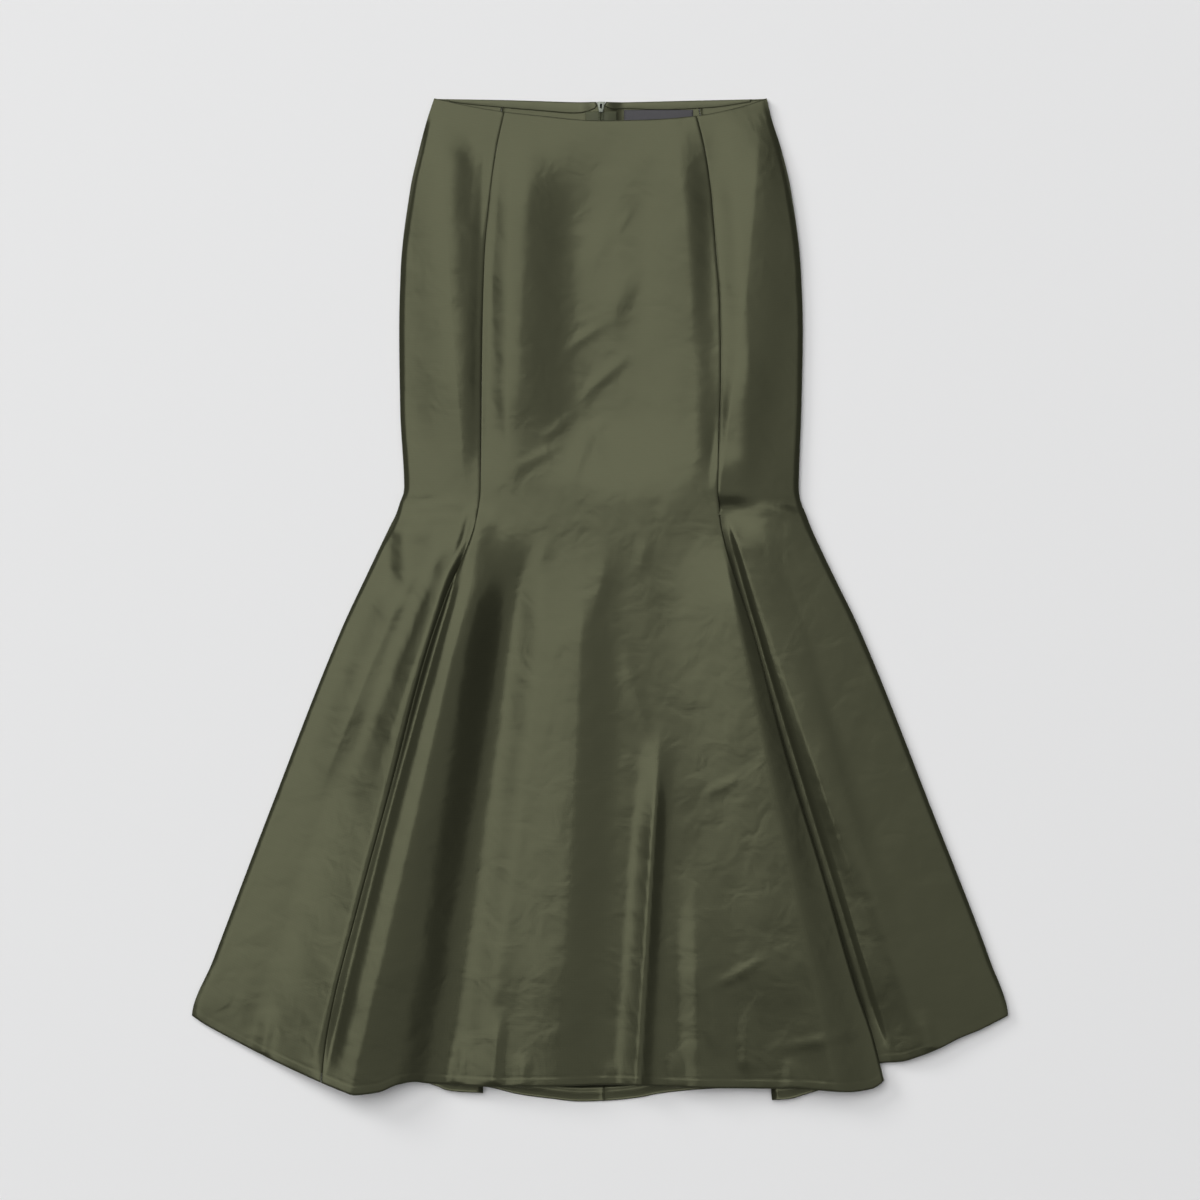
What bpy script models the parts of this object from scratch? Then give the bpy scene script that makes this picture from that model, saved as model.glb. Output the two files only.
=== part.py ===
"""A mermaid fishtail skirt lying flat on its back, front up, with its waist towards +Y.

Seven satin panels make a tube that is pressed flat: three in front and four behind. Each
panel is a grid of points between its seam lines, from its waist edge to its hem. The front
puffs up in soft folds and the back rests on the surface. Below the knee a front pleat lies
over the right side panel, and two back pleats lie under the back side panels. Inside the
back waist are a turned strip, a blank label and a concealed zip, whose pull tab turns on
its slider.

Every table and size is in millimetres: x runs across from the middle, "down" runs from the
top of the side seams towards the hem, and heights are above the surface.
"""

import math
from collections import namedtuple

import bmesh
import bpy
import numpy as np
from mathutils import Vector

MM = 0.001                  # metres in a millimetre

HALF_LENGTH = 501.0         # half the length over all: y = 0 lies this far down
FLARE = 416.0               # where the pleats open and the flare begins
WALL = 1.2                  # satin with its backing
TRIM_WALL = 1.0             # turned strip, label and zip tape
GAP = 0.3                   # between pieces that meet

SEAM_HEIGHT = 5.0           # the side seams' height above the surface
UPRIGHT = 1.0               # the last of a panel stands straight up at a side seam
FRONT_ROLL = 9.0            # how far in from a side seam the front curls down to it
BACK_ROLL = 7.0             # how far in from a side seam the back curls up to it
DOME = 3.0                  # the front is a dome across, flatter the higher this is

PLEAT_RADIUS = (1.6, 2.6)           # of the fold itself, where the flare begins and at the hem
FRONT_PLEAT_WIDTH = (4.0, 40.0)     # of the front pleat's hidden layer, at the same two places
PLEAT_TUCK = 2.0            # a pleat's hidden layer ends this far above the hem
PLEAT_GUARD = 8.0           # this far outside a fold, a side panel is still at the pleat's depth
PLEAT_RAMP = 42.0           # and it comes level over this much more
PLEAT_SINK = (395.0, 409.0)         # down: where a side panel sinks to a pleat's depth

CENTRE_BACK = ((0, 1.0), (1001, 3.5))   # the seam, as (down, x)
NOTCH_DEPTH = 14.0          # at the top of that seam, for the slider
NOTCH_HALF = 6.0
ZIP_LIFT = 4.4              # how far the pull tab holds the back waist off the surface
ZIP_LIFT_ACROSS = (4.5, 23.0)       # full lift as far as the first, none beyond the second
ZIP_LIFT_DOWN = (20.0, 78.0)        # the same, down from the waist
LABEL_X = (24.0, 93.0)
LABEL_DOWN = (12.1, 28.6)

HINGE = (1.0, 8.0, 1.6)     # the pull tab's axis: its x, how far down, its height
SLIDER_SIZE = (8.0, 10.5, 2.6)      # width, length and thickness of the slider's body
SLIDER_ABOVE = 4.2          # it reaches this far past the axis towards the waist
SLIDER_TAPER = 0.5          # its lower end is this share of its width
NECK_HALF = 0.9
CHEEK_WALL = 0.8
CHEEK_HALF = 1.1            # half their length along the zip
CHEEK_DROP = 0.9            # how far below the axis they reach
PIN_RADIUS = 0.5
BARREL_RADIUS = 1.3         # of the pull tab's eye, which turns on the pin
BARREL_BORE = 0.6
BARREL_HALF = 1.5           # half its length along the pin
SIDE_PLAY = 0.2             # between the eye and a cheek
TAB_LENGTH = 24.0
TAB_HALF = 2.5
TAB_WALL = 1.0
TAB_TAPER = 0.6             # its lower end is this share of its width
STEM_LENGTH = 4.0
ROD_SIDES = 16
BITE = 0.4                  # how far joined solids run into each other

# The outline, and the height of the front just inside the side seams and in the middle.
SECTION_COLUMNS = ("down", "left", "right", "shoulder", "loft")
SECTIONS = (
    (0, -165.5, 166.5, 8.0, 11.5),
    (21, -172.5, 171.5, 8.5, 12.5),
    (51, -180.5, 181.0, 9.0, 13.5),
    (91, -189.5, 190.5, 9.5, 14.5),
    (171, -199.0, 200.5, 10.0, 15.0),
    (231, -200.5, 202.5, 10.0, 15.0),
    (311, -199.5, 201.0, 10.0, 15.5),
    (391, -195.5, 198.5, 10.5, 18.5),
    (403, -199.5, 200.5, 10.5, 18.5),
    (415, -203.5, 205.5, 10.5, 18.5),
    (427, -209.5, 210.0, 10.5, 18.5),
    (471, -230.5, 230.5, 10.5, 18.0),
    (531, -258.5, 259.5, 10.0, 17.5),
    (711, -329.5, 331.5, 10.0, 17.5),
    (861, -386.5, 389.5, 9.5, 17.5),
    (916, -407.5, 407.5, 8.5, 16.5),
    (1002, -410.0, 410.0, 7.5, 15.5),
)

# Seam lines and the pleats' fold lines, as (down, x).
FRONT_SEAM_LEFT = (
    (14, -95.5), (51, -103.5), (101, -110.5), (161, -115.5), (231, -117.5), (391, -119.5),
    (416, -122.5), (501, -154.5), (561, -174.5), (681, -206.5), (801, -239.5), (911, -267.5),
    (959, -275.5), (981, -277.5),
)
FRONT_SEAM_RIGHT = (
    (18, 96.5), (51, 104.5), (91, 110.5), (151, 115.5), (211, 119.5), (271, 120.5),
    (331, 118.5), (391, 117.5), (412, 119.5),
)
FRONT_FOLD_RIGHT = (
    (412, 119.5), (423, 120.5), (471, 132.5), (531, 152.5), (651, 184.5), (771, 221.5),
    (891, 256.5), (931, 270.5), (981, 283.5),
)
BACK_SEAM_LEFT = (
    (1, -97.0), (51, -104.0), (151, -114.5), (231, -117.5), (391, -119.5), (993, -116.5),
)
BACK_SEAM_RIGHT = (
    (1, 98.0), (51, 105.0), (151, 116.0), (271, 119.5), (391, 118.5), (1000, 171.5),
)
BACK_FOLD_LEFT = ((391, -119.5), (416, -123.5), (700, -145.0), (983, -168.5))
BACK_FOLD_RIGHT = ((391, 118.5), (416, 122.5), (700, 170.0), (983, 223.5))

# Waist edges and hems, as (x, down).
FRONT_WAIST = (
    (-165.5, 0), (-130.5, 8), (-95.5, 14), (-60.5, 18), (-0.5, 23), (49.5, 22), (96.5, 18),
    (139.5, 9), (166.5, 0),
)
BACK_WAIST = ((-165.5, 0), (-100, 1), (0, 3.5), (100, 1.5), (166.5, 0))
FRONT_HEM_LEFT = ((-407.5, 916), (-395.5, 924), (-371.5, 937), (-323.5, 961), (-277.5, 981))
FRONT_HEM_CENTRE = (
    (-277.5, 981), (-251.5, 991), (-245.5, 993), (-220.5, 990.5), (-200.5, 983), (-185.5, 981),
    (-170.5, 983), (-100.5, 986), (19.5, 984), (99.5, 987), (199.5, 988), (249.5, 991),
    (271.5, 988), (283.5, 981),
)
FRONT_HEM_RIGHT = (
    (240, 969), (284.5, 963), (299.5, 962), (319.5, 956), (339.5, 948), (359.5, 938),
    (379.5, 930), (399.5, 920), (407.5, 916),
)
BACK_HEM_LEFT = (
    (-407.5, 916), (-371.5, 932), (-323.5, 955), (-275.5, 974), (-220, 979), (-190, 979),
    (-163, 986), (-150, 991), (-116.5, 993),
)
BACK_HEM_CENTRE = (
    (-168.5, 982), (-140, 984), (-110.5, 988), (-80.5, 995), (-50.5, 999), (-20, 1002),
    (10, 1001), (39.5, 998), (59.5, 994), (99.5, 990), (134.5, 988), (171.5, 985), (223.5, 982),
)
BACK_HEM_RIGHT = (
    (171.5, 1000), (189.5, 999), (199.5, 996), (219.5, 990), (250, 983), (262, 975), (284, 958),
    (320, 951), (359.5, 933), (399.5, 917), (407.5, 916),
)

# The front's folds. A fold lies on the whole front, on all of it but the right side panel
# ("main"), or on that panel alone ("side"). It runs from its top to its bottom on a line that
# bows sideways. It reaches "left" and "right" of that line at its bottom, and "taper" times
# as far at its top. A height below zero is a trough. "crest" is 0 for round and 1 for creased.
Fold = namedtuple(
    "Fold", "name on top_x top bottom_x bottom bow left right taper height crest fade_in fade_out"
)
FOLDS = (
    Fold("hip ridge left", "all", -158, 10, -129, 405, -3, 60, 42, 1.0, 6.5, 0.2, 40, 80),
    Fold("princess valley left", "all", -94, 10, -117, 400, -2, 30, 28, 1.0, -4.0, 0.3, 35, 50),
    Fold("front ridge left", "all", -90, 10, -96, 400, 0, 90, 66, 1.0, 8.5, 0.3, 60, 60),
    Fold("princess valley right", "all", 101, 10, 120, 398, 9, 28, 22, 1.3, -4.2, 0.2, 60, 25),
    Fold("hip ridge right", "all", 160, 5, 115, 400, 7, 36, 66, 1.0, 4.5, 0.2, 60, 110),
    Fold("knee ridge right", "all", 138, 240, 119, 398, 0, 14, 50, 1.0, 3.0, 0.3, 80, 40),
    Fold("flare ridge left", "main", -182, 480, -286, 710, 0, 40, 36, 0.8, 4.0, 0.2, 40, 110),
    Fold("inner ridge left", "main", -134, 430, -298, 910, -7, 80, 38, 0.4, 5.5, 0.2, 50, 160),
    Fold("pleat valley left", "main", -129, 440, -277, 990, -11, 24, 28, 0.6, -3.0, 0.4, 60, 60),
    Fold("pleat ridge left", "main", -121, 405, -246, 1010, -3, 130, 108, 0.45, 10.5, 0.5, 150, 1),
    Fold("trough left", "main", -82, 430, -162, 1010, 6, 48, 44, 0.8, -3.0, 0.0, 90, 1),
    Fold("centre ridge", "main", -16, 430, -44, 1010, 4, 84, 48, 0.9, 5.0, 0.3, 120, 1),
    Fold("centre crease", "main", 58, 620, 41, 1010, -2, 34, 32, 0.5, 5.0, 0.7, 90, 30),
    Fold("outer right ridge", "main", 112, 430, 236, 1010, 4, 66, 48, 0.6, 5.5, 0.2, 90, 1),
    Fold("side ridge", "side", 142, 425, 276, 860, 0, 30, 32, 0.6, 3.0, 0.3, 50, 200),
)

# Where the rows of points lie, as shares of the way from the waist edge to the flare, and
# from the flare to the hem.
Rows = namedtuple("Rows", "upper lower")
FRONT_ROWS = Rows(
    (0.0, 0.03, 0.08, 0.14, 0.21, 0.29, 0.37, 0.45, 0.53, 0.62, 0.71, 0.80, 0.88, 0.95, 0.985),
    (0.0, 0.02, 0.06, 0.12, 0.19, 0.27, 0.35, 0.43, 0.51, 0.59, 0.67, 0.75, 0.83, 0.90, 0.96, 1.0),
)
BACK_ROWS = Rows(
    (0.0, 0.021, 0.031, 0.075, 0.12, 0.18, 0.34, 0.49, 0.66, 0.84, 0.95, 0.985),
    (0.0, 0.02, 0.06, 0.15, 0.28, 0.42, 0.56, 0.70, 0.84, 0.94, 1.0),
)
ROLL_STEPS = 5                  # round a pleat's fold
UNDER_STEPS = 4                 # across a pleat's hidden layer
LAP_STEPS = 6                   # across the side panel below the front pleat
EDGE_STEPS = 3                  # across the curl at a side seam
EDGE_CROWD = 1.8                # how much closer together those columns are at the seam
RIM_SHARE = 0.014               # how far inside a front princess seam the next column lies
FRONT_STEPS = 38                # across the front centre panel
FRONT_SIDE_STEPS = 10
BACK_SIDE_STEPS = 5
BACK_STEPS = (0.0, 0.05, 0.095, 0.135, 0.19, 0.25, 0.4, 0.6, 0.8, 1.0)   # from the centre back
FACING_ROWS, FACING_FIRST = (0, 1), 1       # rows and first column that the turned strip follows
TAPE_ROWS, TAPE_COLUMNS = (2, 7), (0, 3)    # rows and columns that a zip tape follows

SATIN = (0.128, 0.136, 0.088)
SATIN_INSIDE = (0.137, 0.143, 0.093)
CHARCOAL = (0.062, 0.058, 0.066)
ZIP_GREEN = (0.115, 0.130, 0.095)
ZIP_METAL = (0.33, 0.35, 0.30)


class Curve:
    """A smooth line through the rows of a table, which never swings past them."""

    def __init__(self, rows, column=1):
        self.key = np.array([row[0] for row in rows], dtype=float)
        self.value = np.array([row[column] for row in rows], dtype=float)
        rise = np.diff(self.value) / np.diff(self.key)
        before, after = rise[:-1], rise[1:]
        agree = before * after > 0
        total = np.where(agree, before + after, 1.0)
        inner = np.where(agree, 2 * before * after / total, 0.0)
        self.slope = np.concatenate((rise[:1], inner, rise[-1:]))

    def at(self, key):
        key = np.clip(key, self.key[0], self.key[-1])
        start = np.clip(np.searchsorted(self.key, key, side="right") - 1, 0, len(self.key) - 2)
        span = self.key[start + 1] - self.key[start]
        t = (key - self.key[start]) / span
        from_start = self.value[start] * (1 + 2 * t) + self.slope[start] * span * t
        from_end = self.value[start + 1] * (3 - 2 * t) + self.slope[start + 1] * span * (t - 1)
        return from_start * (1 - t) ** 2 + from_end * t ** 2


LEFT, RIGHT, SHOULDER, LOFT = (Curve(SECTIONS, n) for n in range(1, len(SECTION_COLUMNS)))


class Line:
    """A seam line or fold line, from one edge of a panel to the other.

    It follows one curve above the flare and another below it. Each may be moved sideways, by
    an amount or by a function of down."""

    def __init__(self, upper, lower, above=0.0, below=0.0):
        self.upper, self.lower = Curve(upper), Curve(lower)
        self.above, self.below = above, below

    def at(self, down):
        above, below = (
            move(down) if callable(move) else move for move in (self.above, self.below)
        )
        return np.where(down < FLARE - GAP, self.upper.at(down) + above,
                        self.lower.at(down) + below)

    def meets(self, edge):
        """How far down the line crosses a waist edge or a hem."""
        down = float(edge.value.mean())
        for _ in range(12):
            down = float(edge.at(float(self.at(down))))
        return down


def outline(column, move=0.0):
    """A side seam as the sections give it, moved sideways."""
    rows = [(row[0], row[column]) for row in SECTIONS]
    return Line(rows, rows, move, move)


def ease(t):
    """From 0 to 1 with a level start and end."""
    t = np.clip(t, 0.0, 1.0)
    return t * t * (3 - 2 * t)


def flare_share(down):
    """0 where the flare begins, 1 at the hem."""
    return np.clip((down - FLARE) / (2 * HALF_LENGTH - FLARE), 0.0, 1.0)


def flare_value(pair, down):
    """Between a pair of values, the first where the flare begins and the second at the hem."""
    return pair[0] + (pair[1] - pair[0]) * flare_share(down)


def pleat_radius(down):
    return flare_value(PLEAT_RADIUS, down)


def front_pleat_width(down):
    return flare_value(FRONT_PLEAT_WIDTH, down)


def fold_height(fold, x, down):
    """What one fold adds to the height of the front."""
    t = np.clip((down - fold.top) / (fold.bottom - fold.top), 0.0, 1.0)
    line = fold.top_x + (fold.bottom_x - fold.top_x) * t + 4 * fold.bow * t * (1 - t)
    spread = fold.taper + (1 - fold.taper) * t
    reach = np.where(x < line, fold.left, fold.right) * spread
    near = np.clip(1 - np.abs(x - line) / reach, 0.0, 1.0)
    profile = (1 - fold.crest) * (0.5 - 0.5 * np.cos(math.pi * near)) + fold.crest * near ** 2
    fade = ease((down - fold.top) / fold.fade_in) * ease((fold.bottom - down) / fold.fade_out)
    return fold.height * profile * fade


def inset(x, down):
    """How far in from the nearer side seam a point lies."""
    return np.minimum(x - LEFT.at(down), RIGHT.at(down) - x)


def curl(x, down, width):
    """How much of its own height a layer has kept at a point: all of it beyond the curl."""
    out = 1 - np.clip(inset(x, down) / width, 0, 1)
    return np.sqrt(1 - out ** 2)


def front_height(x, down, sheet="main"):
    """The outer face of the front."""
    left, right = LEFT.at(down), RIGHT.at(down)
    across = np.clip(np.abs(2 * (x - left) / (right - left) - 1), 0, 1)
    shoulder = SHOULDER.at(down)
    height = shoulder + (LOFT.at(down) - shoulder) * (1 - across ** DOME)
    for fold in FOLDS:
        if fold.on in ("all", sheet):
            height = height + fold_height(fold, x, down)
    foot = SEAM_HEIGHT + GAP / 2 + UPRIGHT
    return foot + (height - foot) * curl(x, down, FRONT_ROLL)


def back_height(x, down):
    """The back's outer face, its underside: level but at its edges and over the pull tab."""
    edge = (SEAM_HEIGHT - GAP / 2 - UPRIGHT) * (1 - curl(x, down, BACK_ROLL))
    near, far = ZIP_LIFT_ACROSS
    across = ease((far - np.abs(x - HINGE[0])) / (far - near))
    near, far = ZIP_LIFT_DOWN
    return edge + ZIP_LIFT * across * ease((far - down) / (far - near))


def side_drop(x, down, fold, outward):
    """How far a side panel lies from the level of the panel that is pleated beside it."""
    beside = outward * (x - fold.at(np.maximum(down, FLARE)))
    ramp = ease((PLEAT_GUARD + PLEAT_RAMP - beside) / PLEAT_RAMP)
    start, end = PLEAT_SINK
    return (2 * pleat_radius(down) + GAP) * ramp * ease((down - start) / (end - start))


def even(count, crowd=1.0):
    """Shares from 0 to 1; a crowd above 1 puts them closer at 0, and below 1 closer at 1."""
    return tuple((step / count) ** crowd for step in range(count + 1))


def rimmed(shares, first=True, last=True):
    """The shares with one more just inside the first and the last of them."""
    added = (RIM_SHARE,) * first + (1 - RIM_SHARE,) * last
    return tuple(sorted(shares + added))


def zone(left, right, edge, shares, steps):
    """Points of a panel between two lines, from the flare (share 0) to an edge (share 1).

    They are a Coons patch: they follow the lines at the sides and the edge's own curve.
    Returns x and down, with a row for each share and a column for each step."""
    share, across = np.array(shares)[:, None], np.array(steps)[None, :]
    ends = left.meets(edge), right.meets(edge)
    corners = [float(line.at(end)) for line, end in zip((left, right), ends)]
    down_left, down_right = (FLARE + (end - FLARE) * share for end in ends)
    x_left, x_right = left.at(down_left), right.at(down_right)
    chord = ends[0] + (ends[1] - ends[0]) * across
    bulge = edge.at(corners[0] + (corners[1] - corners[0]) * across) - chord
    x = x_left + (x_right - x_left) * across
    down = down_left + (down_right - down_left) * across
    return x, down + bulge * share


def strip(left, right, waist, hem, rows, steps):
    """A panel's whole length between two lines, as x and down."""
    upper = zone(left, right, waist, [1 - share for share in rows.upper], steps)
    lower = zone(left, right, hem, rows.lower, steps)
    return tuple(np.vstack(pair) for pair in zip(upper, lower))


def side_by_side(strips):
    """Strips as one grid; each starts on the last column of the one before."""
    grids = [strips[0]] + [tuple(part[:, 1:] for part in later) for later in strips[1:]]
    return tuple(np.hstack(parts) for parts in zip(*grids))


def stand_up(grid, level, edge):
    """Adds the last stretch to a side seam, standing upright beside the grid's edge column."""
    x, down = (part[:, [edge]] for part in grid[:2])
    column = (x, down, np.full_like(x, level))
    pairs = zip(column, grid) if edge == 0 else zip(grid, column)
    return [np.hstack(pair) for pair in pairs]


def pleat_block(fold, seam, hem, outward, rows):
    """The folded part of a centre panel below the flare: round the fold and back to the seam.

    outward is 1 where the fold faces +X and -1 where it faces -X. Returns x, down and how
    far each point is round the fold, from 0 to 1."""
    end = fold.meets(hem)
    down = FLARE + (end - FLARE) * np.array(rows.lower)[:, None]
    radius, line = pleat_radius(down), fold.at(down)
    turn = math.pi * np.array(even(ROLL_STEPS)[1:])[None, :]
    back = np.array(even(UNDER_STEPS)[1:])[None, :]
    start = line - outward * radius
    x = np.hstack((start + outward * radius * np.sin(turn),
                   start + (seam.at(down) - start) * back))
    round_share = np.hstack(((1 - np.cos(turn)) / 2, 1 + 0 * back)) + 0 * down
    return x, down - PLEAT_TUCK * flare_share(down) * round_share, round_share


def join_pleat(main, pleat, rows):
    """A centre panel's x, down and height, with its pleat's columns joined on."""
    above = np.zeros((len(rows.upper), pleat[0].shape[1]))
    return [np.hstack((part, np.vstack((above, extra)))) for part, extra in zip(main, pleat)]


def link(made, parent):
    bpy.context.scene.collection.objects.link(made)
    made.parent = parent
    return made


def cloth(name, grid, wall, faces_up, finish, missing=(0, 0)):
    """A wall of cloth through a grid of points on its outer face.

    missing is the number of upper rows, and of columns at the end, that those rows lack."""
    x, down, height = grid
    rows, columns = x.shape
    bm = bmesh.new()
    bmesh.ops.create_grid(bm, x_segments=columns - 1, y_segments=rows - 1, size=0.5)
    spare_rows, spare_columns = missing
    spare = []
    for vert in bm.verts:
        column = round((vert.co.x + 0.5) * (columns - 1))
        row = round((0.5 - vert.co.y) * (rows - 1))
        place = x[row, column], HALF_LENGTH - down[row, column], height[row, column]
        vert.co = Vector(place) * MM
        if row < spare_rows and column >= columns - spare_columns:
            spare.append(vert)
    bmesh.ops.delete(bm, geom=spare, context="VERTS")
    bm.normal_update()
    facing_up = sum(face.calc_area() * face.normal.z for face in bm.faces) > 0
    if facing_up != faces_up:
        bmesh.ops.reverse_faces(bm, faces=bm.faces)
    made = link(bpy.data.objects.new(name, finished(name, bm)), bpy.data.objects["skirt"])
    made.data.materials.append(finish)
    made.data.shade_smooth()
    solid = made.modifiers.new("wall", "SOLIDIFY")
    solid.thickness = wall * MM
    solid.offset = -1.0


def finished(name, bm):
    mesh = bpy.data.meshes.new(name)
    bm.to_mesh(mesh)
    bm.free()
    return mesh


def front_panels(finish):
    waist, rows, half = Curve(FRONT_WAIST), FRONT_ROWS, GAP / 2
    shoulder_left, shoulder_right = outline(1, FRONT_ROLL), outline(2, -FRONT_ROLL)
    foot = SEAM_HEIGHT + half

    seam = Line(FRONT_SEAM_LEFT, FRONT_SEAM_LEFT, -half, -half)
    hem = Curve(FRONT_HEM_LEFT)
    x, down = side_by_side((
        strip(outline(1), shoulder_left, waist, hem, rows, even(EDGE_STEPS, EDGE_CROWD)),
        strip(shoulder_left, seam, waist, hem, rows, rimmed(even(FRONT_SIDE_STEPS), first=False)),
    ))
    grid = stand_up((x, down, front_height(x, down)), foot, 0)
    cloth("front_side_left", grid, WALL, True, finish)

    seam = Line(FRONT_SEAM_LEFT, FRONT_SEAM_LEFT, half, half)
    fold = Line(FRONT_FOLD_RIGHT, FRONT_FOLD_RIGHT)
    edge = Line(FRONT_SEAM_RIGHT, FRONT_FOLD_RIGHT, -half, lambda down: -pleat_radius(down))
    under = Line(FRONT_FOLD_RIGHT, FRONT_FOLD_RIGHT, 0, lambda down: -front_pleat_width(down))
    hem = Curve(FRONT_HEM_CENTRE)
    x, down = strip(seam, edge, waist, hem, rows, rimmed(even(FRONT_STEPS)))
    fold_x, fold_down, turned = pleat_block(fold, under, hem, 1, rows)
    fold_z = front_height(fold_x, fold_down)
    beneath = front_height(fold_x, fold_down, "side") - 2 * pleat_radius(fold_down)
    fold_z += (beneath - fold_z) * turned
    grid = join_pleat((x, down, front_height(x, down)), (fold_x, fold_down, fold_z), rows)
    cloth("front_centre", grid, WALL, True, finish, (len(rows.upper), fold_x.shape[1]))

    inner = Line(FRONT_SEAM_RIGHT, FRONT_FOLD_RIGHT, half, lambda down: -front_pleat_width(down))
    guard = Line(FRONT_SEAM_RIGHT, FRONT_FOLD_RIGHT, PLEAT_GUARD, PLEAT_GUARD)
    hem = Curve(FRONT_HEM_RIGHT)
    x, down = side_by_side((
        strip(inner, guard, waist, hem, rows, even(LAP_STEPS)),
        strip(guard, shoulder_right, waist, hem, rows, even(FRONT_SIDE_STEPS - 1)),
        strip(shoulder_right, outline(2), waist, hem, rows, even(EDGE_STEPS, 1 / EDGE_CROWD)),
    ))
    height = front_height(x, down, "side") - side_drop(x, down, fold, 1)
    cloth("front_side_right", stand_up((x, down, height), foot, -1), WALL, True, finish)


def notch(down):
    """Half the width of the slider's notch in the centre back seam."""
    return GAP / 2 + NOTCH_HALF * np.clip(1 - down / NOTCH_DEPTH, 0, 1)


def back_panels(finish):
    """Makes the back panels. Returns the points of each pair, by side, before its pleat."""
    waist, rows = Curve(BACK_WAIST), BACK_ROWS
    sides = (
        ("left", 1, -1, BACK_SEAM_LEFT, BACK_FOLD_LEFT, BACK_HEM_LEFT),
        ("right", 2, 1, BACK_SEAM_RIGHT, BACK_FOLD_RIGHT, BACK_HEM_RIGHT),
    )
    pairs = {}
    for side, column, outward, seam_rows, fold_rows, hem_rows in sides:
        half = outward * GAP / 2
        fold, seam = Line(fold_rows, fold_rows), Line(seam_rows, seam_rows)
        centre = Line(CENTRE_BACK, CENTRE_BACK, lambda down: outward * notch(down), half)
        edge = Line(seam_rows, fold_rows, -half, lambda down: -outward * pleat_radius(down))
        hem = Curve(BACK_HEM_CENTRE)
        x, down = strip(centre, edge, waist, hem, rows, BACK_STEPS)
        centre_grid = x, down, back_height(x, down)
        fold_x, fold_down, turned = pleat_block(fold, seam, hem, outward, rows)
        fold_z = back_height(fold_x, fold_down) + 2 * pleat_radius(fold_down) * turned
        grid = join_pleat(centre_grid, (fold_x, fold_down, fold_z), rows)
        cloth(f"back_centre_{side}", grid, WALL, False, finish,
              (len(rows.upper), fold_x.shape[1]))

        inner = Line(seam_rows, seam_rows, half, half)
        guard = Line(seam_rows, fold_rows, outward * PLEAT_GUARD, outward * PLEAT_GUARD)
        shoulder = outline(column, -outward * BACK_ROLL)
        hem = Curve(hem_rows)
        x, down = side_by_side((
            strip(inner, guard, waist, hem, rows, even(EDGE_STEPS)),
            strip(guard, shoulder, waist, hem, rows, even(BACK_SIDE_STEPS)),
            strip(shoulder, outline(column), waist, hem, rows, even(EDGE_STEPS, 1 / EDGE_CROWD)),
        ))
        side_grid = x, down, back_height(x, down) + side_drop(x, down, fold, outward)
        cloth(f"back_side_{side}", stand_up(side_grid, SEAM_HEIGHT - GAP / 2, -1),
              WALL, False, finish)
        pairs[side] = centre_grid, side_grid
    return pairs


def on_the_back(grid, rows, columns):
    """Part of a back panel's points, raised to be the top of a trim that lies on it."""
    x, down, height = (part[rows[0]:rows[1] + 1, columns[0]:columns[1] + 1] for part in grid)
    return x, down, height + WALL + GAP + TRIM_WALL


def waist_trims(pairs, strip_finish, tape_finish):
    """The turned strip and the zip tapes, which lie on the back panels' own points."""
    for side, (centre_grid, side_grid) in pairs.items():
        last = side_grid[0].shape[1] - EDGE_STEPS - 2
        near = on_the_back(centre_grid, FACING_ROWS, (FACING_FIRST, len(BACK_STEPS) - 1))
        far = on_the_back(side_grid, FACING_ROWS, (0, last))
        facing = side_by_side((near, far))
        cloth(f"facing_{side}", facing, TRIM_WALL, True, strip_finish)
        tape = on_the_back(centre_grid, TAPE_ROWS, TAPE_COLUMNS)
        cloth(f"zip_tape_{side}", tape, TRIM_WALL, True, tape_finish)


def label(finish):
    x = np.array([LABEL_X, LABEL_X])
    down = np.array([LABEL_DOWN, LABEL_DOWN]).T
    top = np.full_like(x, WALL + GAP + TRIM_WALL)
    cloth("label", (x, down, top), TRIM_WALL, True, finish)


def block(name, low, high, taper=1.0):
    """A box between two corners, whose end towards the hem is taper times as wide."""
    bm = bmesh.new()
    bmesh.ops.create_cube(bm, size=1.0)
    low, high = Vector(low), Vector(high)
    for vert in bm.verts:
        if vert.co.y < 0:
            vert.co.x *= taper
        size = high - low
        vert.co = Vector(a * b for a, b in zip(vert.co, size)) + (low + high) / 2
        vert.co *= MM
    return finished(name, bm)


def rod(name, radius, half_length):
    """A cylinder along X, with its middle on the pull tab's axis."""
    bm = bmesh.new()
    bmesh.ops.create_cone(bm, cap_ends=True, segments=ROD_SIDES, radius1=radius * MM,
                          radius2=radius * MM, depth=2 * half_length * MM)
    turn = Vector((0, 0, 1)).rotation_difference(Vector((1, 0, 0))).to_matrix()
    bmesh.ops.rotate(bm, verts=bm.verts, cent=(0, 0, 0), matrix=turn)
    return finished(name, bm)


def hardware(mesh, finish, others):
    """A metal piece on the hinge, joined with or cut by other meshes."""
    hinge = bpy.data.objects["pull_axis"]
    made = link(bpy.data.objects.new(mesh.name, mesh), hinge)
    mesh.materials.append(finish)
    for other, operation in others:
        helper = link(bpy.data.objects.new(other.name, other), hinge)
        helper.hide_render = True
        helper.display_type = "WIRE"
        change = made.modifiers.new(other.name, "BOOLEAN")
        change.object = helper
        change.operation = operation


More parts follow.
